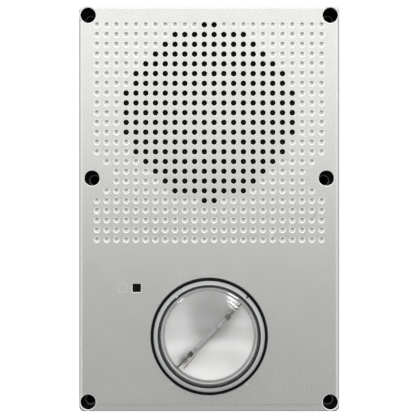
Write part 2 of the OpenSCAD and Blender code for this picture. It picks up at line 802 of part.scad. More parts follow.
module rear_housing() {
    cavity = house_front_z - back_z - rear_wall + eps;
    color([0.13, 0.13, 0.14]) stand() difference() {
        union() {
            difference() {
                slab(house_w, house_h, 3, back_z, house_front_z - back_z);
                slab(house_w - 2 * rear_wall, house_h - 2 * rear_wall, 1.5, back_z + rear_wall, cavity);
            }
            each_at(house_screws) post(tower_r, back_z, house_floor_z - back_z);
        }
        each_at(house_screws) {
            post(tower_r - 0.9, back_z - eps, house_floor_z - 3 - back_z + eps);
            post(1.6, back_z, house_floor_z - back_z + eps);
        }
        translate([0, terminal_y, 0])
            block(terminal_w + 0.8, terminal_h + 0.8, back_z - eps, rear_wall + 2 * eps);
        translate([window_x, stem_y - candela_travel / 2, 0])
            block(stem_w + 1, candela_travel + stem_w + 1, back_z - eps, rear_wall + 2 * eps);
        translate([tap_x, tap_y, 0]) post(tap_knob_r + 0.5, back_z - eps, rear_wall + 2 * eps);
        translate([volt_x, volt_y, 0])
            block(4.8 + volt_travel, 3.8, back_z - eps, rear_wall + 2 * eps);
    }
}

module housing_screws() {
    color("silver") stand() each_at(house_screws)
        rear_screw(1.2, 13, 2.6, 2, house_floor_z - 3);
}

module speaker_leads() {
    color("firebrick") stand() for (side = [0, 1])
        rod([lead_tag[0] + 4 * side, lead_tag[1] + 2.6 * side, lead_tag[2]],
            [26 + 4 * side, -8, board_top_z + 0.5], 0.6);
}

front_cover();
perimeter_gasket();
compression_bushes();
lens_seal();
strobe_lens();
strobe_bracket();
bracket_screws();
strobe_reflector();
flash_tube();
tube_electrodes();
tube_leads();
trigger_wire();
window_pane();
candela_slider();
acoustic_screen();
speaker_gasket();
speaker_basket();
speaker_screws();
cone_surround();
speaker_cone();
dust_cap();
voice_coil();
spider();
magnet_front_plate();
ferrite_magnet();
magnet_yoke();
transformer_core();
transformer_bobbin();
transformer_winding();
transformer_bracket();
transformer_screws();
strobe_board();
flash_capacitor();
trigger_coil();
power_inductor();
audio_board();
blocking_capacitor();
board_screws();
tap_switch();
tap_knob();
voltage_switch();
voltage_slider();
terminal_block();
terminal_screws();
rear_housing();
housing_screws();
speaker_leads();
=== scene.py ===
"""Looks of a weatherproof wall alarm: a loudspeaker behind a perforated cover, over a flash lamp.

Pieces are drawn in wall millimetres: x to the right, y up the wall and z out of the wall, from
the middle of the four corner screws. Shape turns them into the frame's metres.
"""

import logging
import math
from dataclasses import dataclass, field
from enum import Enum
from typing import Iterable, Mapping, Sequence

import bmesh
import bpy
from mathutils import Matrix, Vector

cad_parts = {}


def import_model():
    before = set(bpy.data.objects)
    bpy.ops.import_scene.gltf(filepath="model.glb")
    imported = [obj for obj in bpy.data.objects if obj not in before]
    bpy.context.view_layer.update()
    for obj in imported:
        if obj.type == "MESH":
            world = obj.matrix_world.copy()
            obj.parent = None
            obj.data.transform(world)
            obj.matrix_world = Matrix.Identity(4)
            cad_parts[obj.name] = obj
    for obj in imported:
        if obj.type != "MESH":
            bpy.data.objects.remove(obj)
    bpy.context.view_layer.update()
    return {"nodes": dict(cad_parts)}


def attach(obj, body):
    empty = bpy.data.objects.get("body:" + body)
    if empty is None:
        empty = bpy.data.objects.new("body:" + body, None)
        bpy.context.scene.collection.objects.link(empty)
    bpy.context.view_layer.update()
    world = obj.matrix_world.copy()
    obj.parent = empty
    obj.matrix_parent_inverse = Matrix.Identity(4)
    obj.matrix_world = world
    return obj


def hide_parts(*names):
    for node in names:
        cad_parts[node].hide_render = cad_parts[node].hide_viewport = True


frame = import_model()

LOG = logging.getLogger("wall_alarm")
MM = 0.001
CRISP = 32.0
SEAT_TURNS = (45, 135, 225, 315)
WHITE_LIGHT = (1.0, 1.0, 1.0)
Colour = tuple[float, float, float]
Flat = tuple[float, float]


def world(point: Sequence[float]) -> Vector:
    """Turns a point in wall millimetres into the frame's metres."""
    return Vector((point[0], -point[2], point[1])) * MM


# ---------------------------------------------------------------- node trees


class Wire:
    """One output of a node, which can stand in Python sums."""

    def __init__(self, sheet: "Sheet", socket: bpy.types.NodeSocket | None) -> None:
        """Keeps the tree and the output.

        Args:
            sheet: the tree the output belongs to.
            socket: the output itself, or nothing for a node that ends a tree.
        """
        self.sheet = sheet
        self.socket = socket

    def _sum(self, operation: str, *values: "Wire | float", clamp: bool = False) -> "Wire":
        """Adds one Math node over these values."""
        settings = {"operation": operation, "use_clamp": clamp}
        return self.sheet.node("ShaderNodeMath", settings, dict(enumerate(values)))

    def __add__(self, other: "Wire | float") -> "Wire":
        """self + other"""
        return self._sum("ADD", self, other)

    def __sub__(self, other: "Wire | float") -> "Wire":
        """self - other"""
        return self._sum("SUBTRACT", self, other)

    def __rsub__(self, other: "Wire | float") -> "Wire":
        """other - self"""
        return self._sum("SUBTRACT", other, self)

    def __mul__(self, other: "Wire | float") -> "Wire":
        """self * other"""
        return self._sum("MULTIPLY", self, other)

    def __truediv__(self, other: "Wire | float") -> "Wire":
        """self / other"""
        return self._sum("DIVIDE", self, other)

    def __gt__(self, other: "Wire | float") -> "Wire":
        """1 where self is over other, else 0."""
        return self._sum("GREATER_THAN", self, other)

    def __lt__(self, other: "Wire | float") -> "Wire":
        """1 where self is under other, else 0."""
        return self._sum("LESS_THAN", self, other)

    def __abs__(self) -> "Wire":
        """The size of self."""
        return self._sum("ABSOLUTE", self)

    __radd__ = __add__
    __rmul__ = __mul__

    def power(self, exponent: float) -> "Wire":
        """self to a power."""
        return self._sum("POWER", self, exponent)

    def larger(self, other: "Wire | float") -> "Wire":
        """The larger of the two."""
        return self._sum("MAXIMUM", self, other)

    def clipped(self) -> "Wire":
        """self held between 0 and 1."""
        return self._sum("ADD", self, 0.0, clamp=True)

    def away_from(self, other: "Wire | float") -> "Wire":
        """The length of the side pair (self, other)."""
        return (self * self + other * other).power(0.5)

    def step(self, low: float, high: float) -> "Wire":
        """0 below low and 1 above high, with a soft rise between them."""
        inputs = {0: self, 1: low, 2: high, 3: 0.0, 4: 1.0}
        return self.sheet.node("ShaderNodeMapRange", {"interpolation_type": "SMOOTHSTEP"}, inputs)


class Sheet:
    """A node tree while it is being drawn."""

    def __init__(self, tree: bpy.types.NodeTree) -> None:
        """Starts on an empty tree."""
        self.tree = tree
        tree.nodes.clear()

    def node(
        self,
        kind: str,
        settings: Mapping[str, object] | None = None,
        inputs: Mapping[str | int, object] | None = None,
        output: str | int = 0,
    ) -> Wire:
        """Adds a node.

        Args:
            kind: the node's type.
            settings: its own properties, set first. "stops" are a ramp's places and colours.
            inputs: values or wires for its sockets, by name or number.
            output: the output that is wanted.

        Returns:
            That output.
        """
        made = self.tree.nodes.new(kind)
        for key, value in (settings or {}).items():
            if key == "stops":
                ramp = made.color_ramp
                while len(ramp.elements) < len(value):
                    ramp.elements.new(0.5)
                for element, (place, colour) in zip(ramp.elements, value):
                    element.position = place
                    element.color = (*colour, 1.0)
            else:
                setattr(made, key, value)
        for key, value in (inputs or {}).items():
            socket = made.inputs[key]
            if isinstance(value, Wire):
                self.tree.links.new(value.socket, socket)
            elif socket.type == "RGBA" and len(value) == 3:
                socket.default_value = (*value, 1.0)
            else:
                socket.default_value = value
        return Wire(self, made.outputs[output] if len(made.outputs) else None)

    def axes(self, vector: Wire) -> tuple[Wire, Wire, Wire]:
        """Splits a vector into its three parts."""
        split = self.node("ShaderNodeSeparateXYZ", inputs={0: vector}).socket.node
        return tuple(Wire(self, socket) for socket in split.outputs)

    def vector(self, x: Wire | float, y: Wire | float, z: Wire | float) -> Wire:
        """Joins three parts into a vector."""
        return self.node("ShaderNodeCombineXYZ", inputs={0: x, 1: y, 2: z})


class ShaderSheet(Sheet):
    """The node tree of one material."""

    def __init__(self, name: str) -> None:
        """Starts an empty material of this name."""
        self.material = bpy.data.materials.new(name)
        self.material.use_nodes = True
        super().__init__(self.material.node_tree)

    def place(self) -> Wire:
        """Where a point is on the object, in metres."""
        return self.node("ShaderNodeTexCoord", output="Object")

    def noise(self, size_mm: float, detail: float = 2.0, stretch: Sequence[float] = (1, 1, 1)) -> Wire:
        """Noise whose blobs are about this size, from 0 to 1."""
        where = self.place()
        if tuple(stretch) != (1, 1, 1):
            where = self.node("ShaderNodeMapping", inputs={0: where, "Scale": stretch})
        inputs = {"Vector": where, "Scale": 1000.0 / size_mm, "Detail": detail}
        return self.node("ShaderNodeTexNoise", {"noise_dimensions": "3D"}, inputs, "Fac")

    def blend(self, share: Wire | float, first: Wire | Colour, second: Wire | Colour) -> Wire:
        """A colour between two others."""
        return self.node("ShaderNodeMix", {"data_type": "RGBA"}, {0: share, 6: first, 7: second}, 2)

    def bumped(self, height: Wire, depth_mm: float) -> Wire:
        """A normal that follows a height between 0 and 1."""
        inputs = {"Height": height, "Distance": depth_mm * MM, "Strength": 1.0}
        return self.node("ShaderNodeBump", inputs=inputs)

    def close(self, shader: Wire) -> bpy.types.Material:
        """Ends the material with this shader."""
        self.node("ShaderNodeOutputMaterial", inputs={0: shader})
        return self.material


class GeometrySheet(Sheet):
    """A geometry node tree with named inputs, which ends in a plain mesh."""

    def __init__(self, name: str) -> None:
        """Starts an empty tree of this name."""
        super().__init__(bpy.data.node_groups.new(name, "GeometryNodeTree"))
        self.tree.interface.new_socket("Geometry", in_out="OUTPUT", socket_type="NodeSocketGeometry")
        self.tree.interface.new_socket("Geometry", in_out="INPUT", socket_type="NodeSocketGeometry")
        self.entry = self.tree.nodes.new("NodeGroupInput")

    def entry_for(self, name: str, kind: str) -> Wire:
        """Adds a named input.

        Args:
            name: the input's name.
            kind: Float, Int, Bool, Vector, Object or Material.

        Returns:
            The wire that brings it into the tree.
        """
        self.tree.interface.new_socket(name, in_out="INPUT", socket_type=f"NodeSocket{kind}")
        return Wire(self, self.entry.outputs[name])

    def one(self, shape: Wire) -> Wire:
        """A shape as one instance."""
        inputs = {"Object": shape, "As Instance": True}
        return self.node("GeometryNodeObjectInfo", inputs=inputs, output="Geometry")

    def close(self, instances: Wire, material: Wire) -> None:
        """Makes the copies real, gives them their material and ends the tree."""
        real = self.node("GeometryNodeRealizeInstances", inputs={0: instances})
        inputs = {"Geometry": real, "Material": material}
        painted = self.node("GeometryNodeSetMaterial", inputs=inputs)
        self.node_out = self.tree.nodes.new("NodeGroupOutput")
        self.tree.links.new(painted.socket, self.node_out.inputs[0])

    def run(self, values: Mapping[str, object], points: Sequence[Vector] = ()) -> bpy.types.Mesh:
        """Evaluates the tree.

        Args:
            values: what each named input gets.
            points: places in metres that go in as loose points.

        Returns:
            A plain mesh.
        """
        seeds = bpy.data.meshes.new("points")
        seeds.from_pydata([tuple(p) for p in points], [], [])
        host = bpy.data.objects.new("host", seeds)
        bpy.context.scene.collection.objects.link(host)
        modifier = host.modifiers.new("tree", "NODES")
        modifier.node_group = self.tree
        for item in self.tree.interface.items_tree:
            if item.in_out == "INPUT" and item.name in values:
                modifier[item.identifier] = values[item.name]
        host.update_tag()
        graph = bpy.context.evaluated_depsgraph_get()
        mesh = bpy.data.meshes.new_from_object(host.evaluated_get(graph), depsgraph=graph)
        bpy.data.objects.remove(host)
        return mesh


# ---------------------------------------------------------------- shapes


class Carve(Enum):
    """What a tool does to a body."""

    CUT = "DIFFERENCE"
    ADD = "UNION"


def eased(corners: Sequence[tuple[float, float, float]], steps: int = 3, closed: bool = True) -> list[Flat]:
    """Rounds the corners of an outline.

    Args:
        corners: each corner's two coordinates and the length its rounding takes off each side.
        steps: how many edges a rounding has.
        closed: whether the last corner joins the first.

    Returns:
        The outline's points.
    """
    points: list[Flat] = []
    count = len(corners)
    for i, (a, b, size) in enumerate(corners):
        here = Vector((a, b))
        if size <= 0 or (not closed and i in (0, count - 1)):
            points.append((a, b))
            continue
        before = Vector(corners[i - 1][:2]) - here
        after = Vector(corners[(i + 1) % count][:2]) - here
        start = here + before.normalized() * min(size, before.length * 0.49)
        end = here + after.normalized() * min(size, after.length * 0.49)
        for step in range(steps + 1):
            t = step / steps
            at = start * (1 - t) ** 2 + here * 2 * t * (1 - t) + end * t * t
            points.append((at.x, at.y))
    return points


def oblong(x0: float, x1: float, y0: float, y1: float, r: float, steps: int = 6) -> list[Flat]:
    """A rectangle with round corners, anticlockwise seen from the front."""
    points = []
    middles = ((x1 - r, y1 - r, 0), (x0 + r, y1 - r, 90), (x0 + r, y0 + r, 180), (x1 - r, y0 + r, 270))
    for cx, cy, turn in middles:
        for step in range(steps + 1):
            a = math.radians(turn + 90 * step / steps)
            points.append((cx + r * math.cos(a), cy + r * math.sin(a)))
    return points


def circle(r: float, centre: Flat = (0, 0), sides: int = 32) -> list[Flat]:
    """A circle's points, anticlockwise."""
    turns = (2 * math.pi * i / sides for i in range(sides))
    return [(centre[0] + r * math.cos(a), centre[1] + r * math.sin(a)) for a in turns]


class Shape:
    """Draws closed meshes in wall millimetres."""

    def __init__(self, place: Matrix | None = None) -> None:
        """Starts an empty mesh.

        Args:
            place: where the drawing goes in wall millimetres, or nothing to leave it.
        """
        self.bm = bmesh.new()
        self.place = place or Matrix.Identity(4)

    def ring(self, points: Iterable[Sequence[float]]) -> list[bmesh.types.BMVert]:
        """Adds points and returns their vertices."""
        return [self.bm.verts.new(world(self.place @ Vector(p))) for p in points]

    def skin(self, rings: Sequence[list[bmesh.types.BMVert]], looped: bool = False) -> "Shape":
        """Joins rings of vertices with faces.

        Args:
            rings: rings of one length, or single vertices for poles.
            looped: whether the last ring joins the first, instead of both ends being closed.

        Returns:
            The shape, so that calls can follow on.
        """
        pairs = list(zip(rings, rings[1:])) + ([(rings[-1], rings[0])] if looped else [])
        for low, high in pairs:
            count = max(len(low), len(high))
            for i in range(count):
                j = (i + 1) % count
                face = [low[i % len(low)], low[j % len(low)], high[j % len(high)], high[i % len(high)]]
                face = [v for k, v in enumerate(face) if v is not face[k - 1]]
                if len(face) > 2:
                    self.bm.faces.new(face)
        if not looped:
            for end in (rings[0], rings[-1]):
                if len(end) > 2:
                    self.bm.faces.new(end)
        return self

    def turned(self, profile: Sequence[Flat], centre: Flat = (0, 0), sides: int = 64) -> "Shape":
        """Turns a profile of (radius, height) points round an axis out of the wall.

        Args:
            profile: the points; it is closed in a loop unless it starts and ends on the axis.
            centre: where the axis is.
            sides: how many sides the round has.

        Returns:
            The shape.
        """
        rings = []
        for r, z in profile:
            flat = [centre] if r < 1e-6 else circle(r, centre, sides)
            rings.append(self.ring((x, y, z) for x, y in flat))
        on_axis = profile[0][0] < 1e-6 and profile[-1][0] < 1e-6
        return self.skin(rings, looped=not on_axis)

    def pillar(self, r: float, z: Flat, centre: Flat = (0, 0), sides: int = 24) -> "Shape":
        """A plain round pillar between two heights."""
        return self.turned([(0, z[0]), (r, z[0]), (r, z[1]), (0, z[1])], centre, sides)

    def stacked(self, layers: Sequence[tuple[Sequence[Flat], float]]) -> "Shape":
        """Stacks outlines of one length at their heights and closes both ends."""
        return self.skin([self.ring((x, y, z) for x, y in outline) for outline, z in layers])

    def block(self, x: Flat, y: Flat, z: Flat, r: float = 0.3, ease: float = 0.2) -> "Shape":
        """A block between two values on each axis, with round corners r and eased edges."""
        layers = []
        for height, inset in ((z[0], ease), (z[0] + ease * 0.3, ease * 0.3), (z[0] + ease, 0.0),
                              (z[1] - ease, 0.0), (z[1] - ease * 0.3, ease * 0.3), (z[1], ease)):
            radius = max(r - inset, 0.05)
            layers.append((oblong(x[0] + inset, x[1] - inset, y[0] + inset, y[1] - inset, radius, 3), height))
        return self.stacked(layers)

    def rod(self, path: Sequence[Sequence[float]], r: float | Sequence[float], sides: int = 10) -> "Shape":
        """Sweeps a circle along a path.

        Args:
            path: the points it goes through.
            r: its radius, or one for each point.
            sides: how many sides it has.

        Returns:
            The shape.
        """
        points = [Vector(p) for p in path]
        radii = [r] * len(points) if isinstance(r, (int, float)) else list(r)
        along = (points[1] - points[0]).normalized()
        side = along.orthogonal().normalized()
        rings = []
        for i, point in enumerate(points):
            ahead = points[min(i + 1, len(points) - 1)] - points[max(i - 1, 0)]
            turn = along.rotation_difference(ahead.normalized())
            along, side = ahead.normalized(), (turn @ side).normalized()
            other = along.cross(side)
            turns = (2 * math.pi * k / sides for k in range(sides))
            outwards = (side * math.cos(a) + other * math.sin(a) for a in turns)
            rings.append(self.ring(point + out * radii[i] for out in outwards))
        return self.skin(rings)

    def object(self, name: str, angle: float = CRISP) -> bpy.types.Object:
        """Ends the drawing as an object.

        Args:
            name: its name.
            angle: edges sharper than this many degrees stay crisp.

        Returns:
            The object.
        """
        bmesh.ops.recalc_face_normals(self.bm, faces=self.bm.faces)
        mesh = bpy.data.meshes.new(name)
        self.bm.to_mesh(mesh)
        self.bm.free()
        return placed(name, mesh, angle)


def placed(name: str, mesh: bpy.types.Mesh, angle: float = CRISP) -> bpy.types.Object:
    """Makes an object of a mesh and smooths it up to an angle in degrees."""
    mesh.name = name
    made = bpy.data.objects.new(name, mesh)
    bpy.context.scene.collection.objects.link(made)
    mesh.shade_smooth()
    mesh.set_sharp_from_angle(angle=math.radians(angle))
    return made


def carve(
    body: bpy.types.Object, tool: bpy.types.Object, how: Carve, angle: float = CRISP
) -> bpy.types.Object:
    """Cuts a body with a tool or joins the two; the tool is used up.

    Args:
        body: the object that changes.
        tool: the other object.
        how: what is done.
        angle: edges sharper than this many degrees stay crisp.

    Returns:
        The body.
    """
    modifier = body.modifiers.new("carve", "BOOLEAN")
    modifier.operation = how.value
    modifier.solver = "MANIFOLD"
    modifier.object = tool
    graph = bpy.context.evaluated_depsgraph_get()
    mesh = bpy.data.meshes.new_from_object(body.evaluated_get(graph), depsgraph=graph)
    body.modifiers.clear()
    if len(mesh.polygons) == 0:
        raise ValueError(f"{body.name} was left empty by {tool.name}")
    body.data = mesh
    mesh.name = body.name
    bpy.data.objects.remove(tool)
    mesh.shade_smooth()
    mesh.set_sharp_from_angle(angle=math.radians(angle))
    return body


def weighted(piece: bpy.types.Object) -> bpy.types.Mesh:
    """Lets a piece's large faces lead its shading, so that they look flat up to their edges."""
    modifier = piece.modifiers.new("weights", "WEIGHTED_NORMAL")
    modifier.mode, modifier.weight, modifier.keep_sharp = "FACE_AREA", 100, True
    graph = bpy.context.evaluated_depsgraph_get()
    mesh = bpy.data.meshes.new_from_object(piece.evaluated_get(graph), depsgraph=graph)
    piece.modifiers.clear()
    piece.data = mesh
    mesh.name = piece.name
    return mesh


def show(piece: bpy.types.Object, finish: "Finish", body: str = "housing", *nodes: str) -> None:
    """Dresses a piece and ties it to the frame.

    Args:
        piece: the object.
        finish: its finish.
        body: the CAD body it moves with.
        nodes: the CAD nodes it stands for.
    """
    mesh = weighted(piece)
    mesh.materials.clear()
    mesh.materials.append(finish.material())
    for polygon in mesh.polygons:
        polygon.material_index = 0
    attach(piece, body)
    if nodes:
        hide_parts(*nodes)
    LOG.info("%s: %d faces, %s", piece.name, len(mesh.polygons), finish.slot)


def carried(node: str, finish: "Finish") -> None:
    """Gives a CAD node that stays in view its finish."""
    piece = frame["nodes"][node]
    piece.data.materials.clear()
    piece.data.materials.append(finish.material())
    LOG.info("%s: carried, %s", node, finish.slot)


# ---------------------------------------------------------------- finishes


@dataclass(frozen=True)
class Finish:
    """A surface with a mottled colour, an uneven gloss and a fine grain."""

    slot: str
    colour: Colour
    shade: Colour
    roughness: float
    spread: float = 0.1
    metallic: float = 0.0
    patch_mm: float = 7.0
    grain_mm: float = 0.5
    grain_depth_mm: float = 0.02
    stretch: tuple[float, float, float] = (1.0, 1.0, 1.0)
    specular: float = 0.5

    def tint(self, sheet: ShaderSheet) -> Wire:
        """The colour over the surface."""
        return sheet.blend(sheet.noise(self.patch_mm, 3.0).step(0.3, 0.7), self.colour, self.shade)

    def gloss(self, sheet: ShaderSheet) -> Wire:
        """The roughness over the surface."""
        patches = sheet.noise(self.patch_mm * 0.6, 3.0, self.stretch)
        return (patches * (2 * self.spread) + (self.roughness - self.spread)).clipped()

    def height(self, sheet: ShaderSheet) -> Wire:
        """The grain's height, from 0 to 1."""
        return sheet.noise(self.grain_mm, 2.0, self.stretch)

    def shader(self, sheet: ShaderSheet) -> Wire:
        """The whole surface."""
        inputs = {
            "Base Color": self.tint(sheet),
            "Roughness": self.gloss(sheet),
            "Metallic": self.metallic,
            "Specular IOR Level": self.specular,
            "Normal": sheet.bumped(self.height(sheet), self.grain_depth_mm),
        }
        return sheet.node("ShaderNodeBsdfPrincipled", inputs=inputs)

    def material(self) -> bpy.types.Material:
        """The finish's material, which is drawn once."""
        name = f"{self.slot}_{round(sum(self.colour) * 1000)}"
        made = bpy.data.materials.get(name)
        if made is None:
            sheet = ShaderSheet(name)
            made = sheet.close(self.shader(sheet))
        return made


@dataclass(frozen=True)
class Striped(Finish):
    """A surface built of fine layers or turns: laminations, windings, spun or woven stock."""

    axis: str = "Z"
    pitch_mm: float = 0.5
    rings: bool = False
    centre: tuple[float, float, float] = (0.0, 0.0, 0.0)
    contrast: float = 0.5

    def lines(self, sheet: ShaderSheet) -> Wire:
        """The layers' height, from 0 to 1."""
        where = sheet.node("ShaderNodeMapping", {"vector_type": "POINT"}, {
            0: sheet.place(), "Location": [-c * MM for c in self.centre]})
        kind = {"wave_type": "RINGS", "rings_direction": self.axis} if self.rings else {
            "wave_type": "BANDS", "bands_direction": self.axis}
        inputs = {"Vector": where, "Scale": 1000.0 / self.pitch_mm / 20.0 * math.pi,
                  "Distortion": 0.6, "Detail": 1.0, "Detail Scale": 2.0}
        return sheet.node("ShaderNodeTexWave", kind, inputs, "Fac")

    def tint(self, sheet: ShaderSheet) -> Wire:
        """Darker between the layers."""
        dark = tuple(c * (1 - self.contrast) for c in self.colour)
        return sheet.blend(self.lines(sheet), dark, super().tint(sheet))

    def height(self, sheet: ShaderSheet) -> Wire:
        """Layers with a little grain."""
        return self.lines(sheet) * 0.8 + super().height(sheet) * 0.2


@dataclass(frozen=True)
class Woven(Striped):
    """Crossed strands, as in a mesh screen or resin-dipped cloth."""

    cross_axis: str = "X"

    def lines(self, sheet: ShaderSheet) -> Wire:
        """Two sets of strands over each other."""
        other = Striped(self.slot, self.colour, self.shade, self.roughness, axis=self.cross_axis,
                        pitch_mm=self.pitch_mm)
        return super().lines(sheet).larger(other.lines(sheet))


@dataclass(frozen=True)
class CircuitBoard(Finish):
    """Solder mask with tracks under it and bare pads."""

    track: Colour = (0.06, 0.30, 0.12)
    pad: Colour = (0.75, 0.68, 0.50)

    def tracks(self, sheet: ShaderSheet) -> Wire:
        """1 on a track and 0 beside it."""
        inputs = {"Vector": sheet.place(), "Scale": 180.0, "Randomness": 0.85}
        cells = sheet.node("ShaderNodeTexVoronoi", {"feature": "DISTANCE_TO_EDGE"}, inputs)
        return 1 - cells.step(0.03, 0.05)

    def pads(self, sheet: ShaderSheet) -> Wire:
        """1 on a pad."""
        inputs = {"Vector": sheet.place(), "Scale": 240.0, "Randomness": 0.35}
        return 1 - sheet.node("ShaderNodeTexVoronoi", {"feature": "F1"}, inputs).step(0.12, 0.16)

    def tint(self, sheet: ShaderSheet) -> Wire:
        """Mask, tracks and pads."""
        green = sheet.blend(self.tracks(sheet), super().tint(sheet), self.track)
        return sheet.blend(self.pads(sheet), green, self.pad)

    def height(self, sheet: ShaderSheet) -> Wire:
        """Tracks stand up through the mask."""
        return self.tracks(sheet) * 0.7 + self.pads(sheet) * 0.3


@dataclass(frozen=True)
class SilverPaint(Finish):
    """Textured silver-grey paint, with bare black moulding where the attribute bare is 1, a painted highlight
    (a lighter, less metallic colour) on the hole and well edges where the attribute rim is 1, and painted
    shade (a darker colour) in the dimples where the attribute recess is 1.
    """

    bare: Colour = (0.012, 0.012, 0.013)
    # painted highlight colour for the flared edges of the holes and wells
    painted_rim_highlight: Colour = (0.95, 0.95, 0.94)
    # painted shade colour for the inside of the dimples
    painted_dimple_shade: Colour = (0.62, 0.62, 0.61)
    flake_mm: float = 0.5

    def shader(self, sheet: ShaderSheet) -> Wire:
        """Paint and bare plastic side by side, with a painted highlight on the hole edges and painted shade
        in the dimples.

        Args:
            sheet: the node sheet to write on.

        Returns:
            the output that carries the look.
        """
        bare = sheet.node("ShaderNodeAttribute", {"attribute_name": "bare"}, output="Fac")
        flakes = sheet.noise(self.flake_mm, 1.0)
        cloud = sheet.noise(self.patch_mm, 3.0)
        # rim marks the flared hole and well edges, which get a lighter colour and less metal: a painted
        # highlight
        rim = sheet.node("ShaderNodeAttribute", {"attribute_name": "rim"}, output="Fac")
        # recess marks the dimples, which get a darker colour: painted shade
        recess = sheet.node("ShaderNodeAttribute", {"attribute_name": "recess"}, output="Fac")
        flat = sheet.blend(flakes.step(0.32, 0.68), self.shade, self.colour)
        # the painted highlight goes on the hole edges and the painted shade in the dimples, over the flake
        # colour
        paint = sheet.blend(recess, sheet.blend(rim, flat, self.painted_rim_highlight), self.painted_dimple_shade)
        worn = sheet.blend(cloud.step(0.25, 0.8) * 0.35, paint, tuple(c * 0.93 for c in self.colour))
        peel = (sheet.noise(self.grain_mm, 2.0) * 0.75 + flakes * 0.25) * (1 - recess * 0.9)
        inputs = {
            "Base Color": sheet.blend(bare, worn, self.bare),
            "Roughness": (self.gloss(sheet) + bare * 0.12).clipped(),
            # less metal at the rim is part of the painted highlight
            "Metallic": (1 - bare) * (self.metallic - rim * 0.6),
            "Specular IOR Level": self.specular,
            "Normal": sheet.bumped(peel, self.grain_depth_mm),
        }
        return sheet.node("ShaderNodeBsdfPrincipled", inputs=inputs)


@dataclass(frozen=True)
class Clear(Finish):
    """A thin clear moulding: mostly seen through, with gloss that grows towards its edges. Its see-through
    colour darkens at grazing angles, painted shade in place of the dark edges that refraction gives. Past
    edge_r_mm a film is shaded through a fixed front-facing normal, so the ring's even tone is painted light
    in place of light carried through the wall.
    """

    haze: float = 0.05
    edge_r_mm: float = 0.0
    centre: tuple[float, float, float] = (0.0, 0.0, 0.0)
    ior: float = 1.45
    mirror: float = 0.035
    # how far the see-through colour darkens at grazing angles: painted shade
    edge_shade: float = 0.0
    clear_tint: Colour = (0.97, 0.975, 0.98)
    edge_shade_tint: Colour = (0.16, 0.14, 0.12)

    def shader(self, sheet: ShaderSheet) -> Wire:
        """See-through, film and gloss over each other.

        Args:
            sheet: the node sheet to write on.

        Returns:
            the output that carries the look.
        """
        normal = sheet.bumped(self.height(sheet), self.grain_depth_mm)
        slant = sheet.node("ShaderNodeLayerWeight", inputs={"Blend": 0.5}, output="Facing")
        # the see-through colour darkens towards grazing angles: painted shade standing in for the dark edges
        # that refraction gives
        through = sheet.blend(slant.step(0.45, 0.85) * self.edge_shade, self.clear_tint, self.edge_shade_tint)
        window = sheet.node("ShaderNodeBsdfTransparent", inputs={0: through})
        # past edge_r_mm the film is shaded with a fixed front-facing normal, so the drum wall's ring has one
        # even tone all round: painted light standing in for light carried through the wall
        level = sheet.vector(0.0, -1.0, 0.0) if self.edge_r_mm > 0 else normal
        film = sheet.node("ShaderNodeBsdfPrincipled", inputs={
            "Base Color": self.tint(sheet), "Roughness": self.gloss(sheet), "IOR": self.ior, "Normal": level})
        gloss = sheet.node("ShaderNodeBsdfGlossy", inputs={
            0: WHITE_LIGHT, "Roughness": 0.04, "Normal": normal})
        share: Wire | float = self.haze
        if self.edge_r_mm > 0:
            x, _, z = sheet.axes(sheet.place())
            r = (x - self.centre[0] * MM).away_from(z - self.centre[2] * MM) * 1000.0
            share = r.step(self.edge_r_mm - 0.1, self.edge_r_mm + 0.25) * 0.55 + self.haze
        body = sheet.node("ShaderNodeMixShader", inputs={0: share, 1: window, 2: film})
        facing = sheet.node("ShaderNodeLayerWeight", inputs={"Blend": 0.5, "Normal": normal}, output="Facing")
        edge = facing.power(5.0) * 0.9 + self.mirror
        if self.edge_r_mm > 0:
            edge = edge * (1 - r.step(self.edge_r_mm - 2.0, self.edge_r_mm - 1.4) * 0.8)
        return sheet.node("ShaderNodeMixShader", inputs={0: edge, 1: body, 2: gloss})


PAINT = SilverPaint("silver_paint", (0.815, 0.815, 0.79), (0.685, 0.685, 0.665), 0.26, 0.03, metallic=0.86,
                    patch_mm=14, grain_mm=1.1, grain_depth_mm=0.014)
RUBBER = Finish("black_rubber", (0.006, 0.006, 0.006), (0.010, 0.010, 0.011), 0.55, 0.08, grain_mm=0.35,
                grain_depth_mm=0.01, specular=0.05)
ZINC = Finish("zinc_steel", (0.66, 0.65, 0.61), (0.52, 0.52, 0.50), 0.30, 0.08, metallic=1.0, patch_mm=2.5,
              grain_mm=0.25, grain_depth_mm=0.004, stretch=(1, 6, 1))
BLACK = Finish("black_plastic", (0.008, 0.008, 0.009), (0.014, 0.014, 0.014), 0.36, 0.08, grain_mm=0.3,
               grain_depth_mm=0.008, specular=0.15)
COLLAR = Finish("black_plastic", (0.004, 0.004, 0.005), (0.008, 0.008, 0.008), 0.2, 0.05, grain_mm=0.3,
                grain_depth_mm=0.006, specular=0.5)
BOWL = Finish("metallised_bowl", (0.90, 0.885, 0.86), (0.85, 0.83, 0.80), 0.30, 0.05, metallic=1.0,
              patch_mm=9, grain_mm=2.2, grain_depth_mm=0.03)
CAPS = Finish("nickel", (0.16, 0.135, 0.105), (0.05, 0.042, 0.035), 0.30, 0.1, metallic=1.0, patch_mm=1.2,
              grain_mm=0.2, grain_depth_mm=0.01)
WIRE = Finish("copper", (0.46, 0.38, 0.28), (0.34, 0.27, 0.19), 0.34, 0.1, metallic=1.0, patch_mm=1.4,
              grain_mm=0.2, grain_depth_mm=0.01)
PANE = Finish("smoked_pane", (0.006, 0.003, 0.003), (0.016, 0.004, 0.003), 0.2, 0.04, patch_mm=2.5,
              grain_mm=0.8, grain_depth_mm=0.004, specular=0.15)
SCREEN = Woven("screen_mesh", (0.022, 0.022, 0.022), (0.012, 0.012, 0.012), 0.75, axis="X", cross_axis="Z",
               pitch_mm=0.45, contrast=0.8, grain_depth_mm=0.12)
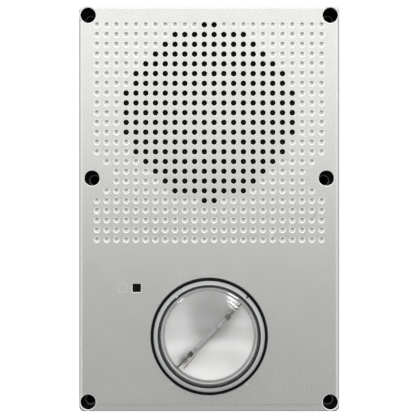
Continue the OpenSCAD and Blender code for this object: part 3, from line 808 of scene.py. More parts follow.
LENS = Clear("clear_polycarbonate", (0.84, 0.86, 0.88), (0.91, 0.93, 0.95), 0.18, 0.04, grain_mm=18,
             grain_depth_mm=0.02, haze=0.01, edge_r_mm=26.3, centre=(0.0, 0.0, -65.4))
GLASS = Clear("tube_glass", (0.85, 0.85, 0.84), (0.8, 0.8, 0.8), 0.08, 0.02, grain_mm=4, grain_depth_mm=0.01,
              haze=0.2, ior=1.6, edge_shade=0.97)
BUSH = Finish("zinc_steel", (0.16, 0.16, 0.155), (0.10, 0.10, 0.10), 0.38, 0.08, metallic=1.0, patch_mm=2.5,
              grain_mm=0.25, grain_depth_mm=0.004)
BASKET = Finish("basket_steel", (0.03, 0.03, 0.033), (0.05, 0.05, 0.05), 0.45, 0.1, patch_mm=12, grain_mm=0.7)
PAPER = Striped("paper_cone", (0.035, 0.035, 0.036), (0.06, 0.058, 0.055), 0.85, axis="Y", rings=True,
                pitch_mm=2.4, centre=(0.0, 0.0, 49.1), contrast=0.25, grain_depth_mm=0.1)
COPPER = Striped("copper", (0.66, 0.27, 0.11), (0.5, 0.2, 0.08), 0.28, metallic=1.0, axis="Y", pitch_mm=0.35,
                 grain_depth_mm=0.08)
SPIDER = Woven("spider_cloth", (0.52, 0.34, 0.11), (0.42, 0.26, 0.08), 0.8, axis="X", cross_axis="Z",
               pitch_mm=0.6, contrast=0.4, grain_depth_mm=0.08)
FERRITE = Finish("ferrite", (0.035, 0.035, 0.038), (0.06, 0.06, 0.062), 0.6, 0.12, patch_mm=3, grain_mm=0.6,
                 grain_depth_mm=0.06)
LAMINATION = Striped("lamination", (0.10, 0.11, 0.12), (0.16, 0.12, 0.09), 0.4, metallic=0.7, axis="Y",
                     pitch_mm=0.5, contrast=0.7, grain_depth_mm=0.1)
IVORY = Finish("ivory_plastic", (0.62, 0.57, 0.44), (0.56, 0.51, 0.38), 0.5, 0.06, grain_mm=0.5)
TAPE = Striped("winding_tape", (0.75, 0.42, 0.05), (0.66, 0.36, 0.04), 0.25, axis="Z", pitch_mm=3.0,
               contrast=0.2, grain_depth_mm=0.06)
BOARD = CircuitBoard("circuit_board", (0.015, 0.10, 0.035), (0.02, 0.13, 0.045), 0.3, 0.05,
                     grain_depth_mm=0.04)
SLEEVE = Striped("capacitor_sleeve", (0.02, 0.025, 0.05), (0.03, 0.035, 0.07), 0.22, axis="X", pitch_mm=9.0,
                 contrast=0.3, grain_depth_mm=0.02)
BLUE = Striped("blue_sleeve", (0.02, 0.06, 0.30), (0.03, 0.08, 0.36), 0.22, axis="Y", pitch_mm=8.0,
               contrast=0.3, grain_depth_mm=0.02)
WHITE = Finish("white_plastic", (0.72, 0.72, 0.69), (0.66, 0.66, 0.63), 0.4, 0.06, grain_mm=0.4)
TERMINAL = Finish("terminal_plastic", (0.012, 0.06, 0.03), (0.016, 0.08, 0.04), 0.42, 0.06, grain_mm=0.4)
BRASS = Finish("brass", (0.72, 0.50, 0.20), (0.55, 0.36, 0.13), 0.3, 0.1, metallic=1.0, patch_mm=1.6,
               grain_mm=0.25, grain_depth_mm=0.01)
HOUSING = Finish("housing_plastic", (0.014, 0.014, 0.015), (0.022, 0.022, 0.023), 0.5, 0.06, patch_mm=20,
                 grain_mm=0.7, grain_depth_mm=0.06)
RED = Finish("red_wire", (0.42, 0.015, 0.012), (0.34, 0.012, 0.01), 0.35, 0.05, grain_mm=0.8)


# ---------------------------------------------------------------- repeated shapes


def round_of_copies(name: str) -> GeometrySheet:
    """A tree that sets copies of a shape round a circle, each turned to face outwards.

    Args:
        name: the tree's name.

    Returns:
        The tree, with inputs Shape, Count, Radius, Centre and Finish.
    """
    sheet = GeometrySheet(name)
    shape = sheet.entry_for("Shape", "Object")
    count = sheet.entry_for("Count", "Int")
    radius = sheet.entry_for("Radius", "Float")
    centre = sheet.entry_for("Centre", "Vector")
    finish = sheet.entry_for("Finish", "Material")
    index = sheet.node("GeometryNodeInputIndex")
    turn = index * (2 * math.pi) / count
    cosine = sheet.node("ShaderNodeMath", {"operation": "COSINE"}, {0: turn})
    sine = sheet.node("ShaderNodeMath", {"operation": "SINE"}, {0: turn})
    spot = sheet.vector(cosine * radius, 0.0, sine * radius)
    place = sheet.node("ShaderNodeVectorMath", {"operation": "ADD"}, {0: spot, 1: centre})
    points = sheet.node("GeometryNodePoints", inputs={"Count": count, "Position": place})
    source = sheet.one(shape)
    turned = sheet.node("FunctionNodeEulerToRotation", inputs={0: sheet.vector(0.0, turn * -1.0, 0.0)})
    inputs = {"Points": points, "Instance": source, "Rotation": turned}
    sheet.close(sheet.node("GeometryNodeInstanceOnPoints", inputs=inputs), finish)
    return sheet


def copies_at_points(name: str) -> GeometrySheet:
    """A tree that sets a copy of a shape at every point it is given, with inputs Shape and Finish."""
    sheet = GeometrySheet(name)
    shape = sheet.entry_for("Shape", "Object")
    finish = sheet.entry_for("Finish", "Material")
    source = sheet.one(shape)
    inputs = {"Points": Wire(sheet, sheet.entry.outputs["Geometry"]), "Instance": source}
    sheet.close(sheet.node("GeometryNodeInstanceOnPoints", inputs=inputs), finish)
    return sheet


def copies(
    name: str, shape: bpy.types.Object, places: Sequence[Sequence[float]], finish: Finish
) -> bpy.types.Object:
    """Makes one piece of copies of a shape, which is used up.

    Args:
        name: the piece's name.
        shape: the object to copy, drawn round the origin.
        places: where the copies go, in wall millimetres.
        finish: their finish.

    Returns:
        The piece.
    """
    tree = copies_at_points(f"{name}_tree")
    mesh = tree.run({"Shape": shape, "Finish": finish.material()}, [world(p) for p in places])
    bpy.data.objects.remove(shape)
    return placed(name, mesh)


def ringed(
    name: str, shape: bpy.types.Object, count: int, radius: float, centre: Sequence[float], finish: Finish
) -> bpy.types.Object:
    """Makes one piece of copies of a shape round a circle; the shape is used up.

    Args:
        name: the piece's name.
        shape: the object to copy, drawn pointing along x.
        count: how many copies.
        radius: the circle's radius in millimetres.
        centre: the circle's centre in wall millimetres.
        finish: their finish.

    Returns:
        The piece.
    """
    values = {"Shape": shape, "Count": count, "Radius": radius * MM, "Centre": world(centre),
              "Finish": finish.material()}
    mesh = round_of_copies(f"{name}_tree").run(values)
    bpy.data.objects.remove(shape)
    return placed(name, mesh)


class Slot(Enum):
    """The recess in a screw's head."""

    CROSS = "cross"
    PLAIN = "plain"


@dataclass
class Screw:
    """A pan-head screw, drawn with its head's seat at height 0."""

    shank_r: float
    length: float
    head_r: float
    head_t: float
    recess: Slot = Slot.CROSS
    rear: bool = True

    def shape(self, name: str = "screw") -> bpy.types.Object:
        """Draws the screw.

        Args:
            name: the object's name.

        Returns:
            The screw, whose head is behind its seat if rear is true.
        """
        way = -1.0 if self.rear else 1.0
        head, thick, shank, tip = self.head_r, self.head_t, self.shank_r, -self.length
        profile = eased([(0, thick, 0), (head * 0.6, thick, 0.5), (head, thick * 0.55, 0.5), (head, 0, 0.1),
                         (shank, 0, 0), (shank, tip + 0.6, 0.2), (shank * 0.5, tip, 0), (0, tip, 0)],
                        3, closed=False)
        screw = Shape().turned([(r, z * way) for r, z in profile], sides=20).object(name)
        top, reach, narrow = thick * way, head * 0.66, (-0.35, 0.35)
        deep = sorted((top + 0.5 * way, top - thick * 0.55 * way))
        if self.recess is Slot.CROSS:
            arms = [((-reach, reach), narrow), (narrow, (-reach, reach))]
        else:
            arms = [((-head - 0.3, head + 0.3), narrow)]
        for x, y in arms:
            carve(screw, Shape().block(x, y, deep, 0.1, 0.05).object("arm"), Carve.CUT)
        return screw


# ---------------------------------------------------------------- the cover


@dataclass
class Grille:
    """The grid of round holes over the loudspeaker and the blind dimples round them."""

    pitch: float = 5.0
    columns: int = 24
    rows_above: int = 9
    rows_below: int = 13
    centre_y: float = 49.1
    hole_r: float = 1.48
    flare: float = 0.20
    open_r: float = 44.0
    plain_r: float = 9.4
    dimple: float = 0.66
    sides: int = 16

    def is_open(self, x: float, dy: float) -> bool:
        """Whether the place at x and dy from the loudspeaker's centre is a through hole."""
        in_band = abs(x) < self.pitch and abs(dy) < self.open_r + 2
        return math.hypot(x, dy) < self.open_r or in_band

    def blind_near(self, x: float, y: float) -> bool:
        """Whether a point of the face lies in a blind dimple."""
        gx = (math.floor(x / self.pitch) + 0.5) * self.pitch
        gy = round((y - self.centre_y) / self.pitch) * self.pitch
        near = math.hypot(x - gx, y - self.centre_y - gy) < self.hole_r + self.flare + 0.1
        return near and not self.is_open(gx, gy)

    def cutter(self, face: float, inner: float, blind: bool) -> bpy.types.Object:
        """Draws the tool for one hole round the origin.

        Args:
            face: height of the cover's face.
            inner: height of the cover wall's inside.
            blind: whether it is a dimple.

        Returns:
            The tool.
        """
        wide = self.hole_r + self.flare
        top = [(wide, face + 0.6), (wide, face + 0.01)]
        if blind:
            low = [(wide * t, face - self.dimple * (1 - t * t)) for t in (0.76, 0.52, 0.28, 0.1)]
        else:
            low = [(self.hole_r, face - self.flare * 0.8), (self.hole_r, inner - 0.4)]
        shape = Shape()
        rings = [shape.ring((x, y, z) for x, y in circle(r, sides=self.sides)) for r, z in top + low]
        return shape.skin(rings).object("cutter")

    def tree(self) -> GeometrySheet:
        """The tree that sets a shape at every through hole, or at every dimple if Blind is 1."""
        sheet = GeometrySheet("grille")
        names = ("Pitch", "Columns", "Rows", "Grid Height", "Speaker Height", "Open Radius", "Well Across",
                 "Well Height", "Plain Radius", "Blind")
        pitch, columns, rows, grid_y, speaker_y, open_r, well_x, well_y, plain_r, blind = (
            sheet.entry_for(n, "Int" if n in ("Columns", "Rows") else "Float") for n in names)
        shape, finish = sheet.entry_for("Shape", "Object"), sheet.entry_for("Finish", "Material")
        grid = sheet.node("GeometryNodeMeshGrid", inputs={
            "Size X": pitch * (columns - 1), "Size Y": pitch * (rows - 1),
            "Vertices X": columns, "Vertices Y": rows})
        stood = sheet.node("GeometryNodeTransform", inputs={
            "Geometry": grid, "Rotation": (math.pi / 2, 0.0, 0.0),
            "Translation": sheet.vector(0.0, 0.0, grid_y)})
        x, _, z = sheet.axes(sheet.node("GeometryNodeInputPosition"))
        across, up = abs(x), z - speaker_y
        is_open = (x.away_from(up) < open_r).larger((across < pitch) * (abs(up) < open_r + 2 * MM))
        plain = (across - well_x).away_from(z - well_y) < plain_r
        keep = abs(is_open - blind) * (1 - plain)
        inputs = {"Geometry": stood, "Selection": keep < 0.5}
        left = sheet.node("GeometryNodeDeleteGeometry", {"domain": "POINT"}, inputs)
        inputs = {"Points": left, "Instance": sheet.one(shape)}
        sheet.close(sheet.node("GeometryNodeInstanceOnPoints", inputs=inputs), finish)
        return sheet

    def tool(self, face: float, inner: float, blind: bool, well: Flat, finish: Finish) -> bpy.types.Object:
        """Draws the tool for every through hole or for every dimple.

        Args:
            face: height of the cover's face.
            inner: height of the cover wall's inside.
            blind: whether the dimples are wanted.
            well: place of the right-hand middle screw well.
            finish: the finish the tool leaves.

        Returns:
            The tool.
        """
        shape = self.cutter(face, inner, blind)
        grid_y = self.centre_y + self.pitch * (self.rows_above - self.rows_below) / 2
        lengths = {"Pitch": self.pitch, "Grid Height": grid_y, "Speaker Height": self.centre_y,
                   "Open Radius": self.open_r, "Well Across": well[0], "Well Height": well[1],
                   "Plain Radius": self.plain_r}
        values = {key: length * MM for key, length in lengths.items()}
        values |= {"Columns": self.columns, "Rows": self.rows_above + self.rows_below + 1,
                   "Blind": 1.0 if blind else 0.0, "Shape": shape, "Finish": finish.material()}
        mesh = self.tree().run(values)
        bpy.data.objects.remove(shape)
        return placed("dimples" if blind else "holes", mesh)


@dataclass
class Cover:
    """The painted front moulding, its gasket, and the steel bushes in its screw wells."""

    half_w: float = 66.75
    half_h: float = 104.0
    corner_r: float = 2.4
    back: float = 2.0
    face: float = 22.0
    wall: float = 2.4
    well_r: float = 3.85
    boss_r: float = 4.7
    shelf: float = 5.5
    bore_r: float = 3.05
    corner: Flat = (62.0, 99.0)
    middle: Flat = (60.0, 15.6)
    lens: Flat = (0.0, -65.4)
    lens_hole_r: float = 29.9
    window: Flat = (-37.1, -40.6)
    window_half: float = 2.15
    square_off: float = 7.2
    seat: Flat = (0.0, 49.1)
    seat_r: float = 51.1
    speaker_post_r: float = 56.0
    strobe_post_r: float = 37.0
    collar_hole_r: float = 32.1
    rim_half: Flat = (57.0, 98.0)
    rim_wall: float = 2.0
    grille: Grille = field(default_factory=Grille)

    @property
    def wells(self) -> list[Flat]:
        """Places of the six screw wells."""
        corners = [(sx * self.corner[0], sy * self.corner[1]) for sx in (-1, 1) for sy in (-1, 1)]
        return corners + [(sx * self.middle[0], self.middle[1]) for sx in (-1, 1)]

    @property
    def inner(self) -> float:
        """Height of the inside of the front wall."""
        return self.face - self.wall

    def shell(self) -> bpy.types.Object:
        """The block with its soft upper edges and its wide bottom bevel."""
        shape = Shape()
        layers, deep = [], self.face - self.back
        # depth below the face, inset of the sides and top, inset of the bottom
        for depth, side, low in ((deep, 0.25, 0.25), (deep - 0.25, 0.0, 0.0), (2.9, 0.0, 0.0),
                                 (2.1, 0.0, 0.10), (1.75, 0.02, 0.50), (1.3, 0.12, 1.25), (0.85, 0.42, 2.00),
                                 (0.45, 0.85, 2.70), (0.15, 1.35, 3.20), (0.03, 1.75, 3.50),
                                 (0.0, 2.05, 3.80), (0.0, 2.70, 4.50)):
            outline = oblong(-self.half_w + side, self.half_w - side, -self.half_h + low,
                             self.half_h - side, self.corner_r, 5)
            layers.append((outline, self.face - depth))
        return shape.stacked(layers).object("front_cover_piece")

    def round_of(self, centre: Flat, r: float) -> list[Flat]:
        """The four diagonal places at a radius round a centre."""
        turns = (math.radians(a) for a in SEAT_TURNS)
        return [(centre[0] + r * math.cos(a), centre[1] + r * math.sin(a)) for a in turns]

    def ribs(self) -> list[Shape]:
        """The solids inside the cover: bosses, towers and posts."""
        deep = self.inner + 0.5
        bosses, r = Shape(), self.boss_r
        profile = eased([(0, self.back, 0), (r, self.back, 0), (r, self.face, 0.45), (0, self.face, 0)],
                        3, closed=False)
        for centre in self.wells:
            bosses.turned(profile, centre, 40)
        towers = Shape()
        for x in (-48.6, 48.6):
            for y in (-89.5, -12.0, 89.5):
                towers.pillar(3.5, (1.2, deep), (x, y))
        posts = Shape()
        low = {-9.0: [(-44.5, -81), (-44.5, -44), (44.5, -81), (44.5, -44), (14, -7.5), (40, -30.5)],
               -3.8: [(-39, -9.5), (6, -9.5)],
               16.6: self.round_of(self.seat, self.speaker_post_r),
               16.81: self.round_of(self.lens, self.strobe_post_r)}
        for height, places in low.items():
            for place in places:
                posts.pillar(3.2, (height, deep), place)
        return [bosses, towers, posts]

    def rim(self) -> bpy.types.Object:
        """The inner wall that the rear housing fits into."""
        low, high = self.back, self.inner + 0.5
        walls = []
        for name, off, corner, z in (("rim", 0.0, 3, (low, high)),
                                     ("in", self.rim_wall, 2, (low - 1, high + 1))):
            w, h = self.rim_half[0] - off, self.rim_half[1] - off
            outlines = [(oblong(-w, w, -h, h, corner, 4), height) for height in z]
            walls.append(Shape().stacked(outlines).object(name))
        outer, inside = walls
        speaker = Shape().pillar(self.seat_r, (14.8, 24), self.seat, 96).object("seat")
        strobe = Shape().pillar(self.collar_hole_r, (14.2, 24), self.lens, 96).object("notch")
        for tool in (inside, speaker, strobe):
            carve(outer, tool, Carve.CUT)
        return outer

    def openings(self) -> list[bpy.types.Object]:
        """The tools for the wells, the lens, the window and the shallow square beside it."""
        face, deep, well, hole = self.face, self.inner - 1, self.well_r, self.lens_hole_r
        wells = Shape()
        for centre in self.wells:
            wells.turned([(0, 1), (self.bore_r, 1), (self.bore_r, self.shelf), (well, self.shelf),
                          (well, face - 0.5), (well + 0.16, face - 0.14), (well + 0.46, face + 0.02),
                          (well + 0.46, face + 1), (0, face + 1)], centre, 48)
        lens = Shape().turned([(0, deep), (hole, deep), (hole, face - 0.4), (hole + 0.12, face - 0.12),
                               (hole + 0.4, face + 0.01), (hole + 0.4, face + 1), (0, face + 1)],
                              self.lens, 128)
        x, y = self.window
        window = self.square(x, y, 0.4, ((0, deep), (0, face - 0.3), (0.12, face - 0.08),
                                         (0.3, face + 0.01), (0.3, face + 1)))
        beside = self.square(x - self.square_off, y, 0.6, ((0, face - 0.06), (0.1, face + 0.01),
                                                           (0.1, face + 1)))
        return [part.object("opening") for part in (wells, lens, window, beside)]

    def square(self, x: float, y: float, corner: float, layers: Sequence[Flat]) -> Shape:
        """A square tool of the window's size round x and y.

        Args:
            x: its middle to the right.
            y: its middle up.
            corner: its corner radius.
            layers: how much it is grown at each height.

        Returns:
            The tool.
        """
        return Shape().stacked([(oblong(x - self.window_half - g, x + self.window_half + g,
                                        y - self.window_half - g, y + self.window_half + g, corner + g, 4), z)
                                for g, z in layers])

    def apron(self) -> bpy.types.Object:
        """The shallow raised pad between the lens and the bottom bevel."""
        pad = [(-22.3, -91.2), (-27.6, -97.3), (-27.6, -100.1), (27.6, -100.1), (27.6, -97.3), (22.3, -91.2),
               (12, -88), (-12, -88)]
        layers = []
        for by, z in ((0.35, self.face - 0.5), (0.3, self.face - 0.02), (0.0, self.face + 0.09)):
            grown = [(x + math.copysign(by, x), y + (by if y > -92 else -by * 0.4)) for x, y in pad]
            layers.append((grown, z))
        return Shape().stacked(layers).object("apron")

    def is_bare(self, x: float, y: float, z: float) -> bool:
        """Whether a point of the cover's skin is bare plastic and not paint."""
        depth = self.face - z
        if depth < 0.5:
            return False
        ax, ay = abs(x), abs(y)
        if min(math.dist((ax, ay), self.corner), math.dist((ax, y), self.middle)) < self.well_r + 0.3:
            return True
        if ax > self.half_w - 0.3 or ay > self.half_h - 0.3:
            return False
        if depth < 2.95 and (ax > self.half_w - 2.2 or y > self.half_h - 2.2 or y < -self.half_h + 3.9):
            return False
        return not (depth < self.grille.dimple and self.grille.blind_near(x, y))

    def mark_bare(self, piece: bpy.types.Object) -> None:
        """Writes the attributes bare, rim and recess on every corner of the cover: bare marks unpainted
        moulding, rim marks the hole and well edges that get a painted highlight, and recess marks the dimples
        that get painted shade.

        Args:
            piece: the finished cover.
        """
        mesh = piece.data
        bare, rim, recess = (mesh.attributes.new(n, "FLOAT", "CORNER") for n in ("bare", "rim", "recess"))
        for polygon in mesh.polygons:
            x, back, y = polygon.center
            depth = self.face + back / MM
            inside = abs(x) < (self.half_w - 3) * MM and abs(y) < (self.half_h - 5) * MM
            in_well = min(math.dist((x / MM, y / MM), well) for well in self.wells) < self.well_r + 0.5
            # the flare faces round the holes and wells, which get the painted highlight through the rim
            # attribute
            at_highlight_rim = 0.005 < depth < 0.5 and (inside or in_well) and abs(polygon.normal.y) < 0.98
            at_highlight_rim = at_highlight_rim and math.dist((x / MM, y / MM), self.lens) > self.lens_hole_r + 2
            is_bare = self.is_bare(x / MM, y / MM, -back / MM)
            # the dimple faces get the darker colour through the recess attribute: painted shade
            in_dimple = 0.2 < depth < self.grille.dimple and self.grille.blind_near(x / MM, y / MM)
            for corner in polygon.loop_indices:
                bare.data[corner].value = 1.0 if is_bare and not at_highlight_rim else 0.0
                rim.data[corner].value = 1.0 if at_highlight_rim and not in_dimple else 0.0
                recess.data[corner].value = 1.0 if in_dimple else 0.0

    def build(self) -> None:
        """Makes the cover, the gasket and the bushes."""
        piece = self.shell()
        cavity = Shape()
        w, h = self.half_w - self.wall, self.half_h - self.wall
        cavity.stacked([(oblong(-w, w, -h, h, 1.4, 4), z) for z in (self.back - 1, self.inner)])
        carve(piece, cavity.object("cavity"), Carve.CUT)
        carve(piece, self.rim(), Carve.ADD)
        for part in self.ribs():
            carve(piece, part.object("ribs"), Carve.ADD)
        carve(piece, self.apron(), Carve.ADD)
        for tool in self.openings():
            carve(piece, tool, Carve.CUT)
        for blind in (False, True):
            carve(piece, self.grille.tool(self.face, self.inner, blind, self.middle, PAINT), Carve.CUT, 48)
        self.mark_bare(piece)
        show(piece, PAINT, "housing", "front_cover")
        self.build_gasket()
        self.build_bushes()

    def build_gasket(self) -> None:
        """The rubber gasket behind the rim, with a lip along its outer edge."""
        w, h = self.half_w - 0.75, self.half_h - 0.75
        lip = ((0.5, 0.0), (0.15, 0.15), (0.0, 0.5), (0.25, 0.9), (0.25, 1.1), (0.0, 1.5), (0.15, 1.85),
               (0.5, 2.0))
        outlines = [(oblong(-w + g, w - g, -h + g, h - g, 2.4, 6), z) for g, z in lip]
        gasket = Shape().stacked(outlines).object("perimeter_gasket_piece")
        hole = Shape().stacked([(oblong(-54.6, 54.6, -96.2, 96.2, 3, 4), z) for z in (-1, 3)]).object("hole")
        bores = Shape()
        for centre in self.wells:
            bores.pillar(3.1, (0.25, 3), centre, 32)
        for tool in (hole, bores.object("bores")):
            carve(gasket, tool, Carve.CUT)
        show(gasket, RUBBER, "housing", "perimeter_gasket")

    def build_bushes(self) -> None:
        """Six flanged steel bushes."""
        seat, top = self.shelf, self.shelf + 0.8
        profile = eased([(2.25, 0, 0.15), (3.0, 0, 0.15), (3.0, seat, 0), (3.6, seat, 0.1), (3.6, top, 0.3),
                         (2.25, top, 0.35)], 3)
        bush = Shape().turned(profile, sides=40).object("bush")
        bushes = copies("compression_bushes_piece", bush, [(x, y, 0) for x, y in self.wells], BUSH)
        show(bushes, BUSH, "housing", "compression_bushes")


# ---------------------------------------------------------------- the flash lamp


def domed(r: float, drum_top: float, crown: float, steps: int = 14) -> list[Flat]:
    """A domed cap's curve, from its crown out to its drum.

    Args:
        r: the drum's radius.
        drum_top: height where the dome starts.
        crown: height of the dome's top.
        steps: how many edges the curve has.

    Returns:
        Points of (radius, height).
    """
    rise = crown - drum_top
    ball = (r * r + rise * rise) / (2 * rise)
    reach = math.asin(r / ball)
    turns = (reach * i / steps for i in range(steps + 1))
    return [(ball * math.sin(a), crown - ball + ball * math.cos(a)) for a in turns]


@dataclass
class Strobe:
    """The lens, its seal and collar, the bowl, and the flash tube with its wires."""

    centre: Flat = (0.0, -65.4)
    lens_r: float = 28.4
    lens_wall: float = 1.7
    flange_r: float = 31.6
    lens_back: float = 16.8
    drum_top: float = 25.2
    crown: float = 33.0
    seal_r: float = 29.8
    seal_low: float = 18.8
    seal_step: float = 19.6
    seal_top: float = 22.2
    collar_r: float = 26.6
    collar_in: float = 25.2
    collar_top: float = 23.6
    ledge_r: float = 24.85
    ear_low: float = 14.8
    ear_r: float = 37.0
    bowl_r: float = 23.5
    bowl_rim: float = 20.4
    bowl_wall: float = 1.2
    dish_r: float = 23.0
    dish_low: float = 6.5
    dish_high: float = 14.6
    tube_z: float = 15.5
    tube_half: float = 12.3
    tube_r: float = 1.3
    lead_r: float = 0.36
    trigger_r: float = 0.2
    tilt: float = 45.0
    key_turn: float = 46.0
    ribs: int = 186

    def spot(self, degrees: float, z: float = 0.0) -> Matrix:
        """Turns a drawing round the lens's axis and lifts it."""
        return Matrix.Translation((*self.centre, z)) @ Matrix.Rotation(math.radians(degrees), 4, "Z")

    @property
    def along_tube(self) -> Matrix:
        """Turns a drawing round the z axis onto the tube."""
        return self.spot(self.tilt, self.tube_z) @ Matrix.Rotation(math.radians(90), 4, "Y")

    def at(self, r: float, degrees: float, z: float) -> tuple[float, float, float]:
        """A point at a radius and an angle round the lens."""
        a = math.radians(degrees)
        return (self.centre[0] + r * math.cos(a), self.centre[1] + r * math.sin(a), z)

    def key(self, r: Flat, width: float, z: Flat) -> bpy.types.Object:
        """A small block between two radii at the key's angle."""
        return Shape(self.spot(self.key_turn)).block(r, (-width / 2, width / 2), z, 0.12, 0.08).object("key")

    def build_lens(self) -> None:
        """The clear drum and dome, and the black seal whose key sits in its groove."""
        outer = domed(self.lens_r, self.drum_top, self.crown)
        inner = domed(self.lens_r - self.lens_wall, self.drum_top, self.crown - self.lens_wall)
        r, edge, top, back = self.lens_r, self.flange_r, self.drum_top, self.lens_back
        foot = [(r, top - 0.8), (r, back + 2.2), (r + 0.2, back + 2.0), (edge - 0.3, back + 2.0),
                (edge, back + 1.7), (edge, back + 0.3), (edge - 0.3, back), (r - self.lens_wall, back)]
        shoulder = [(r - 0.75, top + 0.42), (r - 0.3, top + 0.05), (r - 0.05, top - 0.35)]
        profile = outer[:-1] + shoulder + foot + inner[::-1]
        lens = Shape().turned(profile, self.centre, 144).object("strobe_lens_piece", 40)
        carve(lens, self.key((27.2, 31.0), 1.0, (19.6, 27.0)), Carve.CUT, 40)
        show(lens, LENS, "housing", "strobe_lens")
        low, step, inside = self.seal_low, self.seal_step, r + 0.05
        profile = eased([(inside, low, 0.1), (edge, low, 0.1), (edge, step, 0.1), (self.seal_r, step, 0.05),
                         (self.seal_r, self.seal_top, 0.62), (inside, self.seal_top, 0.62)], 5)
        seal = Shape().turned(profile, self.centre, 144).object("lens_seal_piece", 45)
        carve(seal, self.key((27.35, 29.2), 0.86, (19.7, 22.2)), Carve.ADD, 45)
        show(seal, RUBBER, "housing", "lens_seal")

    def build_collar(self) -> None:
        """The black clamping collar with the fine ribs round its top, and its four ears."""
        top, r, inside = self.collar_top, self.collar_r, self.collar_in
        low, high = self.ear_low, self.lens_back
        profile = eased([(inside, low, 0.2), (self.flange_r, low, 0.2), (self.flange_r, high, 0.2),
                         (r, high, 0.1), (r, top - 0.25, 0.2), (inside, top - 0.25, 0.2), (inside, 19.8, 0.1),
                         (self.ledge_r, 19.8, 0.1), (self.ledge_r, 18.4, 0.1), (inside, 18.4, 0.1)], 3)
        collar = Shape().turned(profile, self.centre, 128).object("strobe_bracket_piece")
        for turn in SEAT_TURNS:
            outlines = [(oblong(30.5, 41, -4, 4, 3.95, 6), z) for z in (low, high)]
            carve(collar, Shape(self.spot(turn)).stacked(outlines).object("ear"), Carve.ADD)
            bore = Shape().pillar(1.6, (14, 18), self.at(self.ear_r, turn, 0)[:2])
            carve(collar, bore.object("bore"), Carve.CUT)
        rib = Shape().block((-0.62, 0.62), (-0.2, 0.2), (top - 0.5, top), 0.1, 0.1).object("rib")
        middle = (r + inside) / 2
        carve(collar, ringed("ribs", rib, self.ribs, middle, (*self.centre, 0), COLLAR), Carve.ADD)
        show(collar, COLLAR, "housing", "strobe_bracket")

    def build_bowl(self) -> None:
        """The metallised bowl with a rolled rim and its flat outer ring."""
        rim, rise, steep = self.bowl_rim, self.dish_high - self.dish_low, self.bowl_r - self.dish_r
        curves = []
        for grow in (0.0, self.bowl_wall):
            r, low = self.dish_r + grow, self.dish_high - grow
            dish = [(r * i / 18, self.dish_low - grow + rise * (i / 18) ** 2) for i in range(19)]
            turns = (math.pi / 2 * i / 6 for i in range(1, 7))
            wall = [(r + steep * math.sin(a), rim - (rim - low) * math.cos(a)) for a in turns]
            curves.append(dish + wall)
        inner, outer = curves
        outer = [p for p in outer if p[1] < rim - 0.6]
        ring = [(25.0, rim - 0.6), (25.15, rim - 0.45), (25.15, rim - 0.15), (25.0, rim), (24.2, rim),
                (23.95, rim - 0.12)]
        lip = [(self.bowl_r + 0.24, rim - 0.02), (self.bowl_r + 0.12, rim), (self.bowl_r + 0.02, rim - 0.1)]
        down = [p for p in inner[::-1] if p[1] < rim - 0.2]
        profile = outer + [(outer[-1][0], rim - 0.6)] + ring + lip + down
        profile[0], profile[-1] = (0.0, profile[0][1]), (0.0, profile[-1][1])
        bowl = Shape().turned(profile, self.centre, 144).object("strobe_reflector_piece", 50)
        show(bowl, BOWL, "housing", "strobe_reflector")

    def build_tube(self) -> None:
        """The glass, its two metal caps with the electrodes inside, and the leads."""
        r, half = self.tube_r, self.tube_half
        profile = eased([(r - 0.45, -half, 0.15), (r, -half, 0.3), (r, half, 0.3), (r - 0.45, half, 0.15)], 3)
        glass = Shape(self.along_tube).turned(profile, sides=36)
        show(glass.object("flash_tube_piece", 50), GLASS, "housing", "flash_tube")
        caps = Shape(self.along_tube)
        electrode = [(0.0, 9.4), (0.5, 9.4), (0.72, 9.7), (0.72, 10.9), (0.3, 11.1)]
        cap = [(0.3, 0.0), (1.3, 0.0), (1.5, 0.2), (1.5, 0.75), (1.12, 0.9), (1.05, 1.15), (1.42, 1.35),
               (1.5, 1.7), (1.35, 2.15), (0.85, 2.4), (0.72, 2.9), (0.0, 3.0)]
        profile = electrode + [(a, half + b) for a, b in cap]
        for way in (-1, 1):
            caps.turned([(a, way * b) for a, b in profile], sides=28)
        show(caps.object("tube_electrodes_piece", 40), CAPS, "housing", "tube_electrodes")
        leads, thin, thick, z0 = Shape(), self.lead_r, self.lead_r + 0.04, self.tube_z
        flat = [(half + 2.85, thick), (17.2, thick), (17.5, thick), (18.6, thick), (18.8, thick),
                (20.4, thin), (20.6, thick), (22.3, thick), (22.5, thin), (25.8, thin)]
        bend = [(26.6, z0 - 0.2), (27.05, z0 - 0.75), (27.2, z0 - 1.6), (27.2, 4.0), (27.2, -9.0)]
        for turn in (self.tilt, self.tilt + 180):
            path = [self.at(d, turn, z0) for d, _ in flat] + [self.at(d, turn, z) for d, z in bend]
            leads.rod(path, [w for _, w in flat] + [thin] * len(bend), 10)
        show(leads.object("tube_leads_piece"), CAPS, "housing", "tube_leads")

